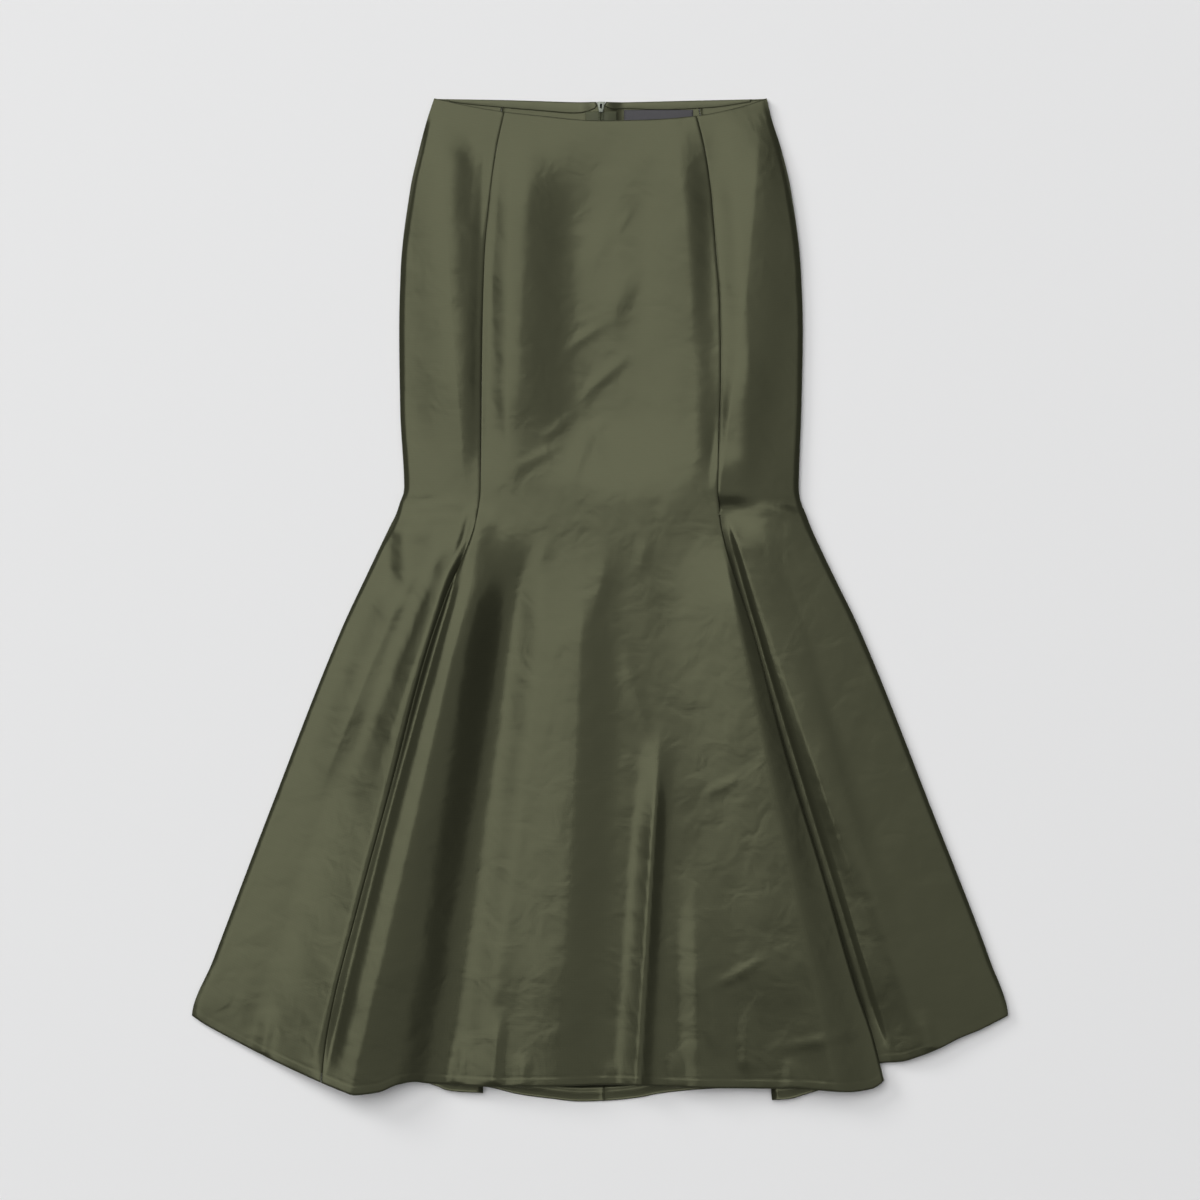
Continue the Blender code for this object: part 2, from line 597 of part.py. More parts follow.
def zip_hardware(finish):
    """The slider, with a yoke under the cloth that carries the pull tab on a pin."""
    hinge_x, hinge_down, hinge_height = HINGE
    hinge = link(bpy.data.objects.new("pull_axis", None), bpy.data.objects["skirt"])
    hinge.location = Vector((hinge_x, HALF_LENGTH - hinge_down, hinge_height)) * MM

    width, length, thickness = SLIDER_SIZE
    inside = ZIP_LIFT + WALL + GAP - hinge_height
    under_cloth = ZIP_LIFT - GAP - hinge_height
    yoke = BARREL_RADIUS + GAP
    cheek_in = BARREL_HALF + SIDE_PLAY
    cheek_out = cheek_in + CHEEK_WALL
    body = block("zip_slider", (-width / 2, SLIDER_ABOVE - length, inside),
                 (width / 2, SLIDER_ABOVE, inside + thickness), SLIDER_TAPER)
    hardware(body, finish, [(mesh, "UNION") for mesh in (
        block("neck", (-NECK_HALF, -CHEEK_HALF, yoke), (NECK_HALF, CHEEK_HALF, inside + BITE)),
        block("yoke", (-cheek_out, -CHEEK_HALF, yoke), (cheek_out, CHEEK_HALF, under_cloth)),
        block("cheek_left", (-cheek_out, -CHEEK_HALF, -CHEEK_DROP),
              (-cheek_in, CHEEK_HALF, yoke + BITE)),
        block("cheek_right", (cheek_in, -CHEEK_HALF, -CHEEK_DROP),
              (cheek_out, CHEEK_HALF, yoke + BITE)),
        rod("pin", PIN_RADIUS, cheek_in + BITE),
    )])

    low, high = -BARREL_RADIUS, TAB_WALL - BARREL_RADIUS
    stem_half = BARREL_HALF - BITE / 2
    hardware(rod("zip_pull", BARREL_RADIUS, BARREL_HALF), finish, [
        (block("stem", (-stem_half, -STEM_LENGTH, low), (stem_half, -BITE, high)), "UNION"),
        (block("blade", (-TAB_HALF, -TAB_LENGTH, low),
               (TAB_HALF, BITE - STEM_LENGTH, high), TAB_TAPER), "UNION"),
        (rod("bore", BARREL_BORE, BARREL_HALF + BITE), "DIFFERENCE"),
    ])


def material(name, colour, roughness, metallic=0.0):
    made = bpy.data.materials.new(name)
    made.use_nodes = True
    shader = made.node_tree.nodes["Principled BSDF"]
    shader.inputs["Base Color"].default_value = (*colour, 1.0)
    shader.inputs["Roughness"].default_value = roughness
    shader.inputs["Metallic"].default_value = metallic
    return made


def main():
    for old in list(bpy.data.objects):
        bpy.data.objects.remove(old, do_unlink=True)
    link(bpy.data.objects.new("skirt", None), None)
    satin = material("satin", SATIN, 0.42)
    front_panels(satin)
    pairs = back_panels(satin)
    waist_trims(pairs, material("satin_inside", SATIN_INSIDE, 0.5),
                material("zip_tape", ZIP_GREEN, 0.8))
    label(material("label", CHARCOAL, 0.7))
    zip_hardware(material("zip_metal", ZIP_METAL, 0.35, 0.8))


main()
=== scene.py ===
"""Looks for the mermaid fishtail skirt: satin panels with their folds, creases, seams and hem
turnings, the waist's turned strip, blank label and concealed zip, on a pale floor.

Tables and sizes are in millimetres: x runs across from the middle, "down" runs from the top
of the side seams towards the hem, and heights are above the floor.
"""

import math
from collections import namedtuple

import bmesh
import bpy
import numpy as np
from mathutils import Matrix, Vector

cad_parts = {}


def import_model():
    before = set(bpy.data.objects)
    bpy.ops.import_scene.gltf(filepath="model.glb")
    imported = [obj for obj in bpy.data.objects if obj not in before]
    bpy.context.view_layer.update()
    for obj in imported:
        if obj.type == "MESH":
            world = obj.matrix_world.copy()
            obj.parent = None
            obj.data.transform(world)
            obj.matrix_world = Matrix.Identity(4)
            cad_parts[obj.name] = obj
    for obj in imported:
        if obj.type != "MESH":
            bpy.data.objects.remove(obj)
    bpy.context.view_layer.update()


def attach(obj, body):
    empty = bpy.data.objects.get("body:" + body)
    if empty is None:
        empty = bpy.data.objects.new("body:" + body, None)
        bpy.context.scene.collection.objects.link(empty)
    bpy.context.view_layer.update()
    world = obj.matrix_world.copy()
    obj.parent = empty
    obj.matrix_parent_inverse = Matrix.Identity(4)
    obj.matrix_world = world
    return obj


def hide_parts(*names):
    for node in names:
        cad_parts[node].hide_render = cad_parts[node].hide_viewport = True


MM = 0.001

HALF_LENGTH = 501.0         # half the length over all: y = 0 lies this far down
FLARE = 416.0               # where the pleats open and the flare begins
WALL = 1.1                  # satin with its backing
TRIM_WALL = 0.9             # turned strip, label, zip tape and hem turnings
GAP = 0.3                   # between pieces that meet

SEAM_HEIGHT = 5.0           # the side seams' height above the floor
UPRIGHT = 1.0               # height of a panel's last stretch, which stands up to the side seam
FRONT_ROLL = 6.0            # how far in from a side seam the front curls down to it
BACK_ROLL = 7.0
SHOULDER_PRESS = 1.8        # how much a side seam's pressing lowers the shoulder beside it
DOME = 3.0                  # how flat the front's middle is: 2 would be a parabola

PLEAT_RADIUS = (1.6, 2.6)           # of the fold itself, where the flare begins and at the hem
FRONT_PLEAT_WIDTH = (4.0, 40.0)     # of the front pleat's hidden layer, at the same two places
PLEAT_TUCK = 2.0            # a pleat's hidden layer ends this far above the hem
PLEAT_GUARD = 8.0           # the panel under a pleat lies low until this far past the fold line
PLEAT_RAMP = 42.0           # and comes up again over this width
PLEAT_SINK = (395.0, 409.0)         # where, going down, it starts to lie low and where it is low

CENTRE_BACK = ((0, 1.0), (1001, 3.5))   # the seam, as (down, x)
NOTCH_DEPTH = 14.0          # at the top of that seam, for the slider
NOTCH_HALF = 6.0            # half the notch's width at the waist edge
ZIP_LIFT = 4.4              # how far the pull tab holds the back waist off the floor
ZIP_LIFT_ACROSS = (4.5, 23.0)       # from the tab's middle: where the lift starts to fall, and ends
ZIP_LIFT_DOWN = (20.0, 78.0)        # the same, going down
ZIP_DOWN = (13.0, 206.0)    # the tapes, from the turned strip to their lower ends
ZIP_TAPE = 15.5             # a tape's width

COIL_START = 1.0            # from a tape's top to its first loop
COIL_PITCH = 1.7
COIL_REACH = 2.6            # a coil loop's length across the tape
COIL_RADIUS = 0.42
COIL_LEAN = 0.25            # in radians, off square to the tape
COIL_APART = 0.4            # from the centre back seam to the loops
COIL_RISE = 0.3             # from the tape's top to the middle of a loop

STRIP_REACH = 151.0         # how far out from the middle the turned strips run
STRIP_INSET = 0.4           # from the waist edge to a turned strip
STRIP_SWELL = 0.25          # how much a strip is raised along its middle
NOTCH_NEAR = 9.0            # nearer the seam than this, a strip's edge follows the notch

LABEL_X = (24.0, 93.0)
LABEL_DOWN = (11.2, 28.6)
LABEL_WALL = 0.5
LABEL_LIFT = 0.5            # how far the label lies above the strip's level
LABEL_BOW = (0.5, 9.0)      # its middle's rise, and how far down that is reached
STITCH = (0.35, 1.6, 0.25)  # width, length and thickness
STITCH_ROW = (1.8, 2.7, 6)  # from the label's top to its first stitch, their pitch, their number
STITCH_INSET = 1.4          # from the label's end
STITCH_RISE = 0.6           # from the strip's level to the middle of a stitch

HINGE = (1.0, 8.0, 1.6)     # the pull tab's axis: its x, how far down, its height
SLIDER_SIZE = (8.0, 10.5, 2.6)      # width, length and thickness
SLIDER_ABOVE = 4.2          # its upper end is this far above the pull tab's axis
SLIDER_TAPER = 0.5          # its lower end's width, as a share of the upper end's
SLIDER_PLATE = 0.9
DIVIDER = (1.0, 4.0, 1.0)   # half its width, and from it to the plates' lower and upper ends
DIVIDER_LEVELS = (0.5, 2.1)         # its faces, from the lower plate's underside
DIVIDER_TAPER = 0.6
BAR_HALF, BAR_WALL, BAR_TAPER = 1.3, 0.3, 0.8       # of the bar in the upper plate's face
BAR_ENDS = (-2.6, 2.4)
YOKE_HALF = (2.5, 1.1)      # half the width and length of the yoke that holds the pin
YOKE_UNDER = 1.6            # its bridge's underside
YOKE_CHEEK = 0.8
CHEEK_LEVELS = (-0.9, 2.0)
POST_HALF, POST_BITE = 0.9, 0.4     # the post between yoke and slider, and how far it goes in
PIN_RADIUS, PIN_LENGTH = 0.5, 4.2
TAB_EYE = (1.3, 0.6, 1.5)   # the outer and inner radius and half the width of the tab's eye
NECK_ENDS = (-4.2, -0.9)    # the tab's neck, between its eye and its blade
TAB_HALF, TAB_TOP, TAB_TAPER = 2.5, -3.6, 0.6
TAB_LENGTH = 24.0
TAB_LEVEL = (-1.3, -0.3)    # the tab's lower and upper face, from its axis
METAL_ROUND, SMALL_ROUND, TAB_ROUND = 0.35, 0.25, 0.4

SEAM_DIP = (0.5, 3.0)       # depth and reach of the groove along a princess seam
BACK_SEAM_DIP = (0.8, 4.0)
EDGE_ROUND = (0.35, 1.3)    # how far a waist edge or a hem rounds down, and over what width
HEM_LINE = (9.0, 1.6, 0.14)         # a hem turning's upper edge: above the hem, half width, depth
HEM_TURN = 19.0             # width of the hem turnings inside the back

# The outline, and the height of the front just inside the side seams and in the middle.
SECTION_COLUMNS = ("down", "left", "right", "shoulder", "loft")
SECTIONS = (
    (0, -165.5, 166.5, 8.0, 11.5),
    (21, -172.5, 171.5, 8.5, 12.5),
    (51, -180.5, 181.0, 9.0, 13.5),
    (91, -189.5, 190.5, 9.5, 14.5),
    (171, -199.0, 200.5, 10.0, 15.0),
    (231, -200.5, 202.5, 10.0, 15.0),
    (311, -199.5, 201.0, 10.0, 15.5),
    (391, -195.5, 198.5, 10.5, 18.5),
    (403, -199.5, 200.5, 10.5, 18.5),
    (415, -203.5, 205.5, 10.5, 18.5),
    (427, -209.5, 210.0, 10.5, 18.5),
    (471, -230.5, 230.5, 10.5, 18.0),
    (531, -258.5, 259.5, 10.0, 17.5),
    (711, -329.5, 331.5, 10.0, 17.5),
    (861, -386.5, 389.5, 9.5, 17.5),
    (916, -407.5, 407.5, 8.5, 16.5),
    (1002, -410.0, 410.0, 7.5, 15.5),
)

# Seam lines and the pleats' fold lines, as (down, x).
FRONT_SEAM_LEFT = (
    (14, -95.5), (51, -103.5), (101, -110.5), (161, -115.5), (231, -117.5), (391, -119.5),
    (416, -122.5), (501, -154.5), (561, -174.5), (681, -206.5), (801, -239.5), (911, -267.5),
    (959, -275.5), (981, -277.5),
)
FRONT_SEAM_RIGHT = (
    (18, 96.5), (51, 104.5), (91, 110.5), (151, 115.5), (211, 119.5), (271, 120.5),
    (331, 118.5), (391, 117.5), (412, 119.5),
)
FRONT_FOLD_RIGHT = (
    (412, 119.5), (423, 120.5), (471, 132.5), (531, 152.5), (651, 184.5), (771, 221.5),
    (891, 256.5), (931, 270.5), (981, 283.5),
)
BACK_SEAM_LEFT = (
    (1, -97.0), (51, -104.0), (151, -114.5), (231, -117.5), (391, -119.5), (993, -116.5),
)
BACK_SEAM_RIGHT = (
    (1, 98.0), (51, 105.0), (151, 116.0), (271, 119.5), (391, 118.5), (1000, 171.5),
)
BACK_FOLD_LEFT = ((391, -119.5), (416, -123.5), (700, -145.0), (983, -168.5))
BACK_FOLD_RIGHT = ((391, 118.5), (416, 122.5), (700, 170.0), (983, 223.5))

# Waist edges, hems and the lower edge of the turned strip, as (x, down).
FRONT_WAIST = (
    (-165.5, 0), (-130.5, 8), (-95.5, 14), (-60.5, 18), (-0.5, 23), (49.5, 22), (96.5, 18),
    (139.5, 9), (166.5, 0),
)
BACK_WAIST = ((-165.5, 0), (-100, 1), (0, 3.5), (100, 1.5), (166.5, 0))
FRONT_HEM_LEFT = ((-407.5, 916), (-395.5, 924), (-371.5, 937), (-323.5, 961), (-277.5, 981))
FRONT_HEM_CENTRE = (
    (-277.5, 981), (-251.5, 991), (-245.5, 993), (-220.5, 990.5), (-200.5, 983), (-185.5, 981),
    (-170.5, 983), (-100.5, 986), (19.5, 984), (99.5, 987), (199.5, 988), (249.5, 991),
    (271.5, 988), (283.5, 981),
)
FRONT_HEM_RIGHT = (
    (240, 969), (284.5, 963), (299.5, 962), (319.5, 956), (339.5, 948), (359.5, 938),
    (379.5, 930), (399.5, 920), (407.5, 916),
)
BACK_HEM_LEFT = (
    (-407.5, 916), (-371.5, 932), (-323.5, 955), (-275.5, 974), (-220, 979), (-190, 979),
    (-163, 986), (-150, 991), (-116.5, 993),
)
BACK_HEM_CENTRE = (
    (-168.5, 982), (-140, 984), (-110.5, 988), (-80.5, 995), (-50.5, 999), (-20, 1002),
    (10, 1001), (39.5, 998), (59.5, 994), (99.5, 990), (134.5, 988), (171.5, 985), (223.5, 982),
)
BACK_HEM_RIGHT = (
    (171.5, 1000), (189.5, 999), (199.5, 996), (219.5, 990), (250, 983), (262, 975), (284, 958),
    (320, 951), (359.5, 933), (399.5, 917), (407.5, 916),
)
STRIP_EDGE = {
    "left": ((-152, 2.6), (-140, 4.5), (-95, 9), (-60, 12), (-25, 14.5), (-12, 13), (-5.5, 8)),
    "right": ((7.5, 8), (13, 10.5), (24, 10), (60, 11), (110, 9), (140, 5), (152, 2.8)),
}

# The front's folds. A fold lies on the whole front, on all of it but the right side panel
# ("main"), or on that panel alone ("side"). It runs from its top to its bottom on a line that
# bows sideways. It reaches "left" and "right" of that line at its bottom, and "taper" times
# as far at its top. A height below zero is a trough. "crest" is 0 for round and 1 for creased.
Fold = namedtuple(
    "Fold", "name on top_x top bottom_x bottom bow left right taper height crest fade_in fade_out"
)
FOLDS = (
    Fold("hip ridge left", "all", -158, 10, -132, 405, -3, 60, 42, 1.0, 7.0, 0.2, 60, 130),
    Fold("princess valley left", "all", -96, 10, -117, 400, -2, 24, 34, 1.0, -2.2, 0.3, 60, 60),
    Fold("front ridge left", "all", -84, 10, -90, 400, -4, 36, 74, 0.85, 6.2, 0.2, 100, 110),
    Fold("front hollow", "all", 0, 20, 24, 405, -4, 104, 84, 0.9, -5.0, 0.0, 110, 90),
    Fold("centre streak", "all", 22, 40, 14, 300, 0, 40, 30, 1.0, 1.8, 0.2, 70, 120),
    Fold("princess valley right", "all", 101, 10, 120, 398, 9, 30, 28, 1.0, -4.2, 0.2, 100, 60),
    Fold("hip ridge right", "all", 160, 5, 115, 400, 7, 48, 66, 1.0, 4.5, 0.2, 80, 130),
    Fold("knee ridge right", "all", 138, 240, 119, 398, 0, 14, 50, 1.0, 3.0, 0.3, 80, 40),
    Fold("knee fold left", "main", -194, 414, -190, 500, 0, 22, 30, 1.0, 3.6, 0.1, 20, 25),
    Fold("flare ridge left", "main", -190, 470, -286, 710, 0, 40, 34, 0.8, 5.5, 0.2, 40, 110),
    Fold("inner ridge left", "main", -134, 430, -238, 730, -4, 60, 34, 0.4, 5.0, 0.2, 50, 150),
    Fold("pleat valley left", "main", -133, 440, -277, 990, -5, 17, 15, 0.6, -5.0, 0.7, 60, 60),
    Fold("knee pleat left", "main", -124, 403, -142, 490, 0, 12, 34, 1.0, 3.4, 0.3, 25, 50),
    Fold("pleat ridge left", "main", -112, 405, -250, 1010, 0, 130, 94, 0.52, 15.0, 0.3, 150, 1),
    Fold("trough left", "main", -82, 430, -162, 1010, 6, 50, 44, 0.8, -4.8, 0.0, 90, 1),
    Fold("centre ridge", "main", -16, 430, -44, 1010, 4, 84, 48, 0.9, 5.0, 0.3, 120, 1),
    Fold("centre crease", "main", 60, 620, 36, 1010, 0, 30, 24, 0.7, 6.0, 0.7, 110, 20),
    Fold("right ridge", "main", 93, 740, 100, 1010, 0, 26, 50, 0.7, 2.6, 0.3, 140, 1),
    Fold("outer right ridge", "main", 118, 430, 241, 1010, 0, 140, 52, 0.5, 7.0, 0.5, 90, 1),
    Fold("fold shadow", "side", 122, 412, 288, 962, -2, 16, 8, 0.6, -4.0, 0.1, 50, 60),
    Fold("side ridge", "side", 127, 412, 284, 870, 0, 26, 40, 1.0, 5.0, 0.3, 40, 200),
)

# Smaller creases. Each runs from a point to another on a line that bows to its right, as seen
# when going from the first to the second, and reaches so far to its left and its right.
Crease = namedtuple("Crease", "on x down end_x end_down bow left right height crest fade_in fade_out")
CREASES = (
    # on the upper middle of the front
    Crease("all", 34, 104, 8, 142, 2, 8, 8, 0.35, 0.5, 0.5, 0.5),
    Crease("all", 48, 30, 40, 90, 0, 15, 17, 0.5, 0.2, 0.5, 0.5),
    Crease("all", 12, 96, -14, 190, 3, 18, 16, 0.55, 0.2, 0.5, 0.5),
    Crease("all", 40, 160, 8, 236, -3, 20, 18, 0.6, 0.2, 0.5, 0.5),
    Crease("all", 22, 216, -44, 264, -4, 9, 9, 0.5, 0.5, 0.5, 0.5),
    Crease("all", 46, 248, -26, 312, -5, 12, 11, 0.65, 0.6, 0.5, 0.4),
    Crease("all", -20, 310, -64, 342, 2, 7, 8, 0.45, 0.5, 0.5, 0.5),
    Crease("all", -24, 336, -102, 376, 3, 8, 8, 0.45, 0.5, 0.5, 0.5),
    Crease("all", 20, 316, -18, 342, -2, 9, 10, 0.4, 0.5, 0.5, 0.5),
    Crease("all", -6, 326, -30, 396, -2, 14, 12, 0.65, 0.4, 0.4, 0.5),
    # on the hip's right side panel
    Crease("all", 126, 34, 136, 84, 2, 14, 16, 0.5, 0.3, 0.5, 0.5),
    # pinches at the knee
    Crease("all", -204, 404, -150, 398, -3, 5, 8, -1.1, 0.5, 0.2, 0.5),
    Crease("all", -198, 413, -118, 409, 5, 7, 7, 0.6, 0.5, 0.3, 0.5),
    Crease("all", -190, 424, -128, 424, 5, 7, 8, 0.5, 0.4, 0.4, 0.5),
    Crease("all", 204, 409, 158, 401, -3, 5, 9, -0.8, 0.4, 0.2, 0.6),
    Crease("all", 200, 420, 134, 408, -4, 8, 8, 0.4, 0.4, 0.4, 0.5),
    Crease("main", -126, 415, -150, 488, 3, 6, 6, -1.8, 0.6, 0.2, 0.4),
    # on the lower middle
    Crease("main", 7, 440, -16, 540, 4, 17, 15, 0.7, 0.3, 0.5, 0.5),
    Crease("main", -50, 424, -68, 486, 2, 14, 16, 0.5, 0.3, 0.5, 0.5),
    Crease("main", 48, 426, 38, 486, 0, 13, 13, 0.5, 0.4, 0.5, 0.5),
    Crease("main", 20, 530, 54, 644, -5, 16, 15, 0.65, 0.4, 0.5, 0.5),
    Crease("main", 32, 594, 66, 664, -3, 11, 11, 0.5, 0.4, 0.5, 0.5),
    Crease("main", -2, 488, 32, 570, 4, 15, 15, 0.5, 0.3, 0.5, 0.5),
    Crease("main", 148, 673, 96, 695, 2, 7, 8, 0.6, 0.6, 0.5, 0.5),
    Crease("main", 168, 853, 88, 894, 4, 8, 9, 0.8, 0.6, 0.4, 0.5),
    Crease("main", 272, 926, 160, 948, 3, 9, 9, 0.7, 0.5, 0.4, 0.5),
    Crease("main", 112, 880, 120, 960, -3, 14, 16, 0.9, 0.3, 0.4, 0.3),
    Crease("main", 150, 900, 146, 975, -2, 12, 12, 0.8, 0.4, 0.4, 0.2),
    # at the hem
    Crease("main", -96, 905, -104, 986, -1, 16, 6, 1.7, 0.7, 0.5, 0.05),
    Crease("main", -132, 930, -142, 985, 0, 12, 9, 1.0, 0.5, 0.5, 0.05),
    Crease("main", -74, 950, -78, 986, 0, 9, 9, 0.9, 0.5, 0.5, 0.05),
    Crease("main", 12, 955, 8, 986, 0, 12, 10, 0.8, 0.4, 0.5, 0.05),
    Crease("main", 74, 948, 78, 987, 0, 11, 9, 0.9, 0.4, 0.5, 0.05),
    Crease("main", 188, 952, 192, 988, 0, 12, 12, 0.9, 0.4, 0.5, 0.05),
    Crease("all", -330, 900, -338, 955, 2, 14, 12, 0.9, 0.3, 0.5, 0.05),
    Crease("side", 322, 905, 330, 950, 0, 14, 12, 0.8, 0.3, 0.5, 0.05),
)

# The cloth's slight unevenness, as waves: each one's share of the height, its length across
# and along the skirt, and its shift in radians.
RIPPLE = 0.12              # half the height of them all
Wave = namedtuple("Wave", "share across along shift")
WAVES = (
    Wave(0.34, 61, 148, 0.4),
    Wave(0.27, -83, 97, 2.1),
    Wave(0.21, 37, -171, 4.4),
    Wave(0.12, -29, 64, 1.3),
    Wave(0.06, 19, 41, 5.2),
)
SWAY = (1.3, 57.0)          # how far they all sway, in radians, and the length it goes by

CROSSING_ROUNDS = 12        # to find where a seam line crosses an edge


class Curve:
    """A smooth line through the rows of a table, which never swings past them."""

    def __init__(self, rows, column=1):
        self.key = np.array([row[0] for row in rows], dtype=float)
        self.value = np.array([row[column] for row in rows], dtype=float)
        rise = np.diff(self.value) / np.diff(self.key)
        before, after = rise[:-1], rise[1:]
        agree = before * after > 0
        total = np.where(agree, before + after, 1.0)
        inner = np.where(agree, 2 * before * after / total, 0.0)
        self.slope = np.concatenate((rise[:1], inner, rise[-1:]))

    def at(self, key):
        key = np.clip(key, self.key[0], self.key[-1])
        start = np.clip(np.searchsorted(self.key, key, side="right") - 1, 0, len(self.key) - 2)
        span = self.key[start + 1] - self.key[start]
        t = (key - self.key[start]) / span
        from_start = self.value[start] * (1 + 2 * t) + self.slope[start] * span * t
        from_end = self.value[start + 1] * (3 - 2 * t) + self.slope[start + 1] * span * (t - 1)
        return from_start * (1 - t) ** 2 + from_end * t ** 2


LEFT, RIGHT, SHOULDER, LOFT = (Curve(SECTIONS, n) for n in range(1, len(SECTION_COLUMNS)))


class Line:
    """A seam line or fold line, from one edge of a panel to the other.

    It follows one curve above the flare and another below it. Each may be moved sideways, by
    an amount or by a function of down."""

    def __init__(self, upper, lower, above=0.0, below=0.0):
        self.upper, self.lower = Curve(upper), Curve(lower)
        self.above, self.below = above, below

    def at(self, down):
        above, below = (
            move(down) if callable(move) else move for move in (self.above, self.below)
        )
        return np.where(down < FLARE - GAP, self.upper.at(down) + above,
                        self.lower.at(down) + below)

    def meets(self, edge):
        """How far down the line crosses a waist edge or a hem; each round comes closer to it."""
        down = float(edge.value.mean())
        for _ in range(CROSSING_ROUNDS):
            down = float(edge.at(float(self.at(down))))
        return down


def outline(column, move=0.0):
    """A side seam as the sections give it, moved sideways."""
    rows = [(row[0], row[column]) for row in SECTIONS]
    return Line(rows, rows, move, move)


def ease(t):
    """From 0 to 1 with a level start and end."""
    t = np.clip(t, 0.0, 1.0)
    return t * t * (3 - 2 * t)


def flare_share(down):
    """0 where the flare begins, 1 at the hem."""
    return np.clip((down - FLARE) / (2 * HALF_LENGTH - FLARE), 0.0, 1.0)


def flare_value(pair, down):
    """Between a pair of values, the first where the flare begins and the second at the hem."""
    return pair[0] + (pair[1] - pair[0]) * flare_share(down)


def pleat_radius(down):
    return flare_value(PLEAT_RADIUS, down)


def front_pleat_width(down):
    return flare_value(FRONT_PLEAT_WIDTH, down)


def fold_height(fold, x, down):
    """What one fold adds to the height of the front."""
    t = np.clip((down - fold.top) / (fold.bottom - fold.top), 0.0, 1.0)
    line = fold.top_x + (fold.bottom_x - fold.top_x) * t + 4 * fold.bow * t * (1 - t)
    spread = fold.taper + (1 - fold.taper) * t
    reach = np.where(x < line, fold.left, fold.right) * spread
    near = np.clip(1 - np.abs(x - line) / reach, 0.0, 1.0)
    profile = (1 - fold.crest) * (0.5 - 0.5 * np.cos(math.pi * near)) + fold.crest * near ** 2
    fade = ease((down - fold.top) / fold.fade_in) * ease((fold.bottom - down) / fold.fade_out)
    return fold.height * profile * fade


def crease_height(crease, x, down):
    """What one crease adds to the height of the front."""
    run_x, run_down = crease.end_x - crease.x, crease.end_down - crease.down
    length = math.hypot(run_x, run_down)
    t = ((x - crease.x) * run_x + (down - crease.down) * run_down) / length ** 2
    off = ((x - crease.x) * run_down - (down - crease.down) * run_x) / length
    off = off - 4 * crease.bow * t * (1 - t)
    near = np.clip(1 - np.abs(off) / np.where(off < 0, crease.left, crease.right), 0.0, 1.0)
    profile = (1 - crease.crest) * (0.5 - 0.5 * np.cos(math.pi * near)) + crease.crest * near ** 2
    return crease.height * profile * ease(t / crease.fade_in) * ease((1 - t) / crease.fade_out)


def inset(x, down):
    """How far in from the nearer side seam a point lies."""
    return np.minimum(x - LEFT.at(down), RIGHT.at(down) - x)


def curl(x, down, width, power):
    """How much of its own height a layer has kept at a point: all of it beyond the curl."""
    out = 1 - np.clip(inset(x, down) / width, 0, 1)
    return (1 - out ** 2) ** power


def front_height(x, down, sheet="main"):
    """The outer face of the front."""
    left, right = LEFT.at(down), RIGHT.at(down)
    across = np.clip(np.abs(2 * (x - left) / (right - left) - 1), 0, 1)
    shoulder = SHOULDER.at(down) - SHOULDER_PRESS
    height = shoulder + (LOFT.at(down) - shoulder) * (1 - across ** DOME)
    for fold in FOLDS:
        if fold.on in ("all", sheet):
            height = height + fold_height(fold, x, down)
    for crease in CREASES:
        if crease.on in ("all", sheet):
            height = height + crease_height(crease, x, down)
    foot = SEAM_HEIGHT + GAP / 2 + UPRIGHT
    return foot + (height - foot) * curl(x, down, FRONT_ROLL, 1.0)


def back_height(x, down):
    """The back's outer face, its underside: level but at its edges and over the pull tab."""
    edge = (SEAM_HEIGHT - GAP / 2 - UPRIGHT) * (1 - curl(x, down, BACK_ROLL, 0.5))
    near, far = ZIP_LIFT_ACROSS
    across = ease((far - np.abs(x - HINGE[0])) / (far - near))
    near, far = ZIP_LIFT_DOWN
    return edge + ZIP_LIFT * across * ease((far - down) / (far - near))


def side_drop(x, down, fold, outward):
    """How far a side panel lies from the level of the panel that is pleated beside it."""
    beside = outward * (x - fold.at(np.maximum(down, FLARE)))
    ramp = ease((PLEAT_GUARD + PLEAT_RAMP - beside) / PLEAT_RAMP)
    start, end = PLEAT_SINK
    return (2 * pleat_radius(down) + GAP) * ramp * ease((down - start) / (end - start))


def dip(x, down, line, size):
    """The groove along a seam line."""
    depth, reach = size
    return depth * np.clip(1 - np.abs(x - line.at(down)) / reach, 0, 1) ** 2


def ripple(x, down, size):
    """Slight unevenness of a large piece of cloth, as a sum of slanting waves."""
    height = 0
    sway, length = SWAY
    for wave in WAVES:
        turn = 2 * math.pi * (x / wave.across + down / wave.along) + wave.shift
        height = height + wave.share * np.sin(turn + sway * np.sin(down / length + wave.shift))
    return size * height


def even(count, crowd=1.0):
    """Shares from 0 to 1; a crowd above 1 puts them closer at 0, and below 1 closer at 1."""
    return tuple((step / count) ** crowd for step in range(count + 1))


def rimmed(count, rims, first=True, last=True):
    """Even shares, with more of them just inside the first and the last."""
    added = tuple(rims) * first + tuple(1 - rim for rim in rims) * last
    return tuple(sorted(set(even(count) + added)))


def zone(left, right, edge, shares, steps):
    """Points of a panel between two lines, from the flare (share 0) to an edge (share 1).

    They are a Coons patch: they follow the lines at the sides and the edge's own curve.
    Returns x and down, with a row for each share and a column for each step."""
    share, across = np.array(shares)[:, None], np.array(steps)[None, :]
    ends = left.meets(edge), right.meets(edge)
    corners = [float(line.at(end)) for line, end in zip((left, right), ends)]
    down_left, down_right = (FLARE + (end - FLARE) * share for end in ends)
    x_left, x_right = left.at(down_left), right.at(down_right)
    chord = ends[0] + (ends[1] - ends[0]) * across
    bulge = edge.at(corners[0] + (corners[1] - corners[0]) * across) - chord
    x = x_left + (x_right - x_left) * across
    down = down_left + (down_right - down_left) * across
    return x, down + bulge * share


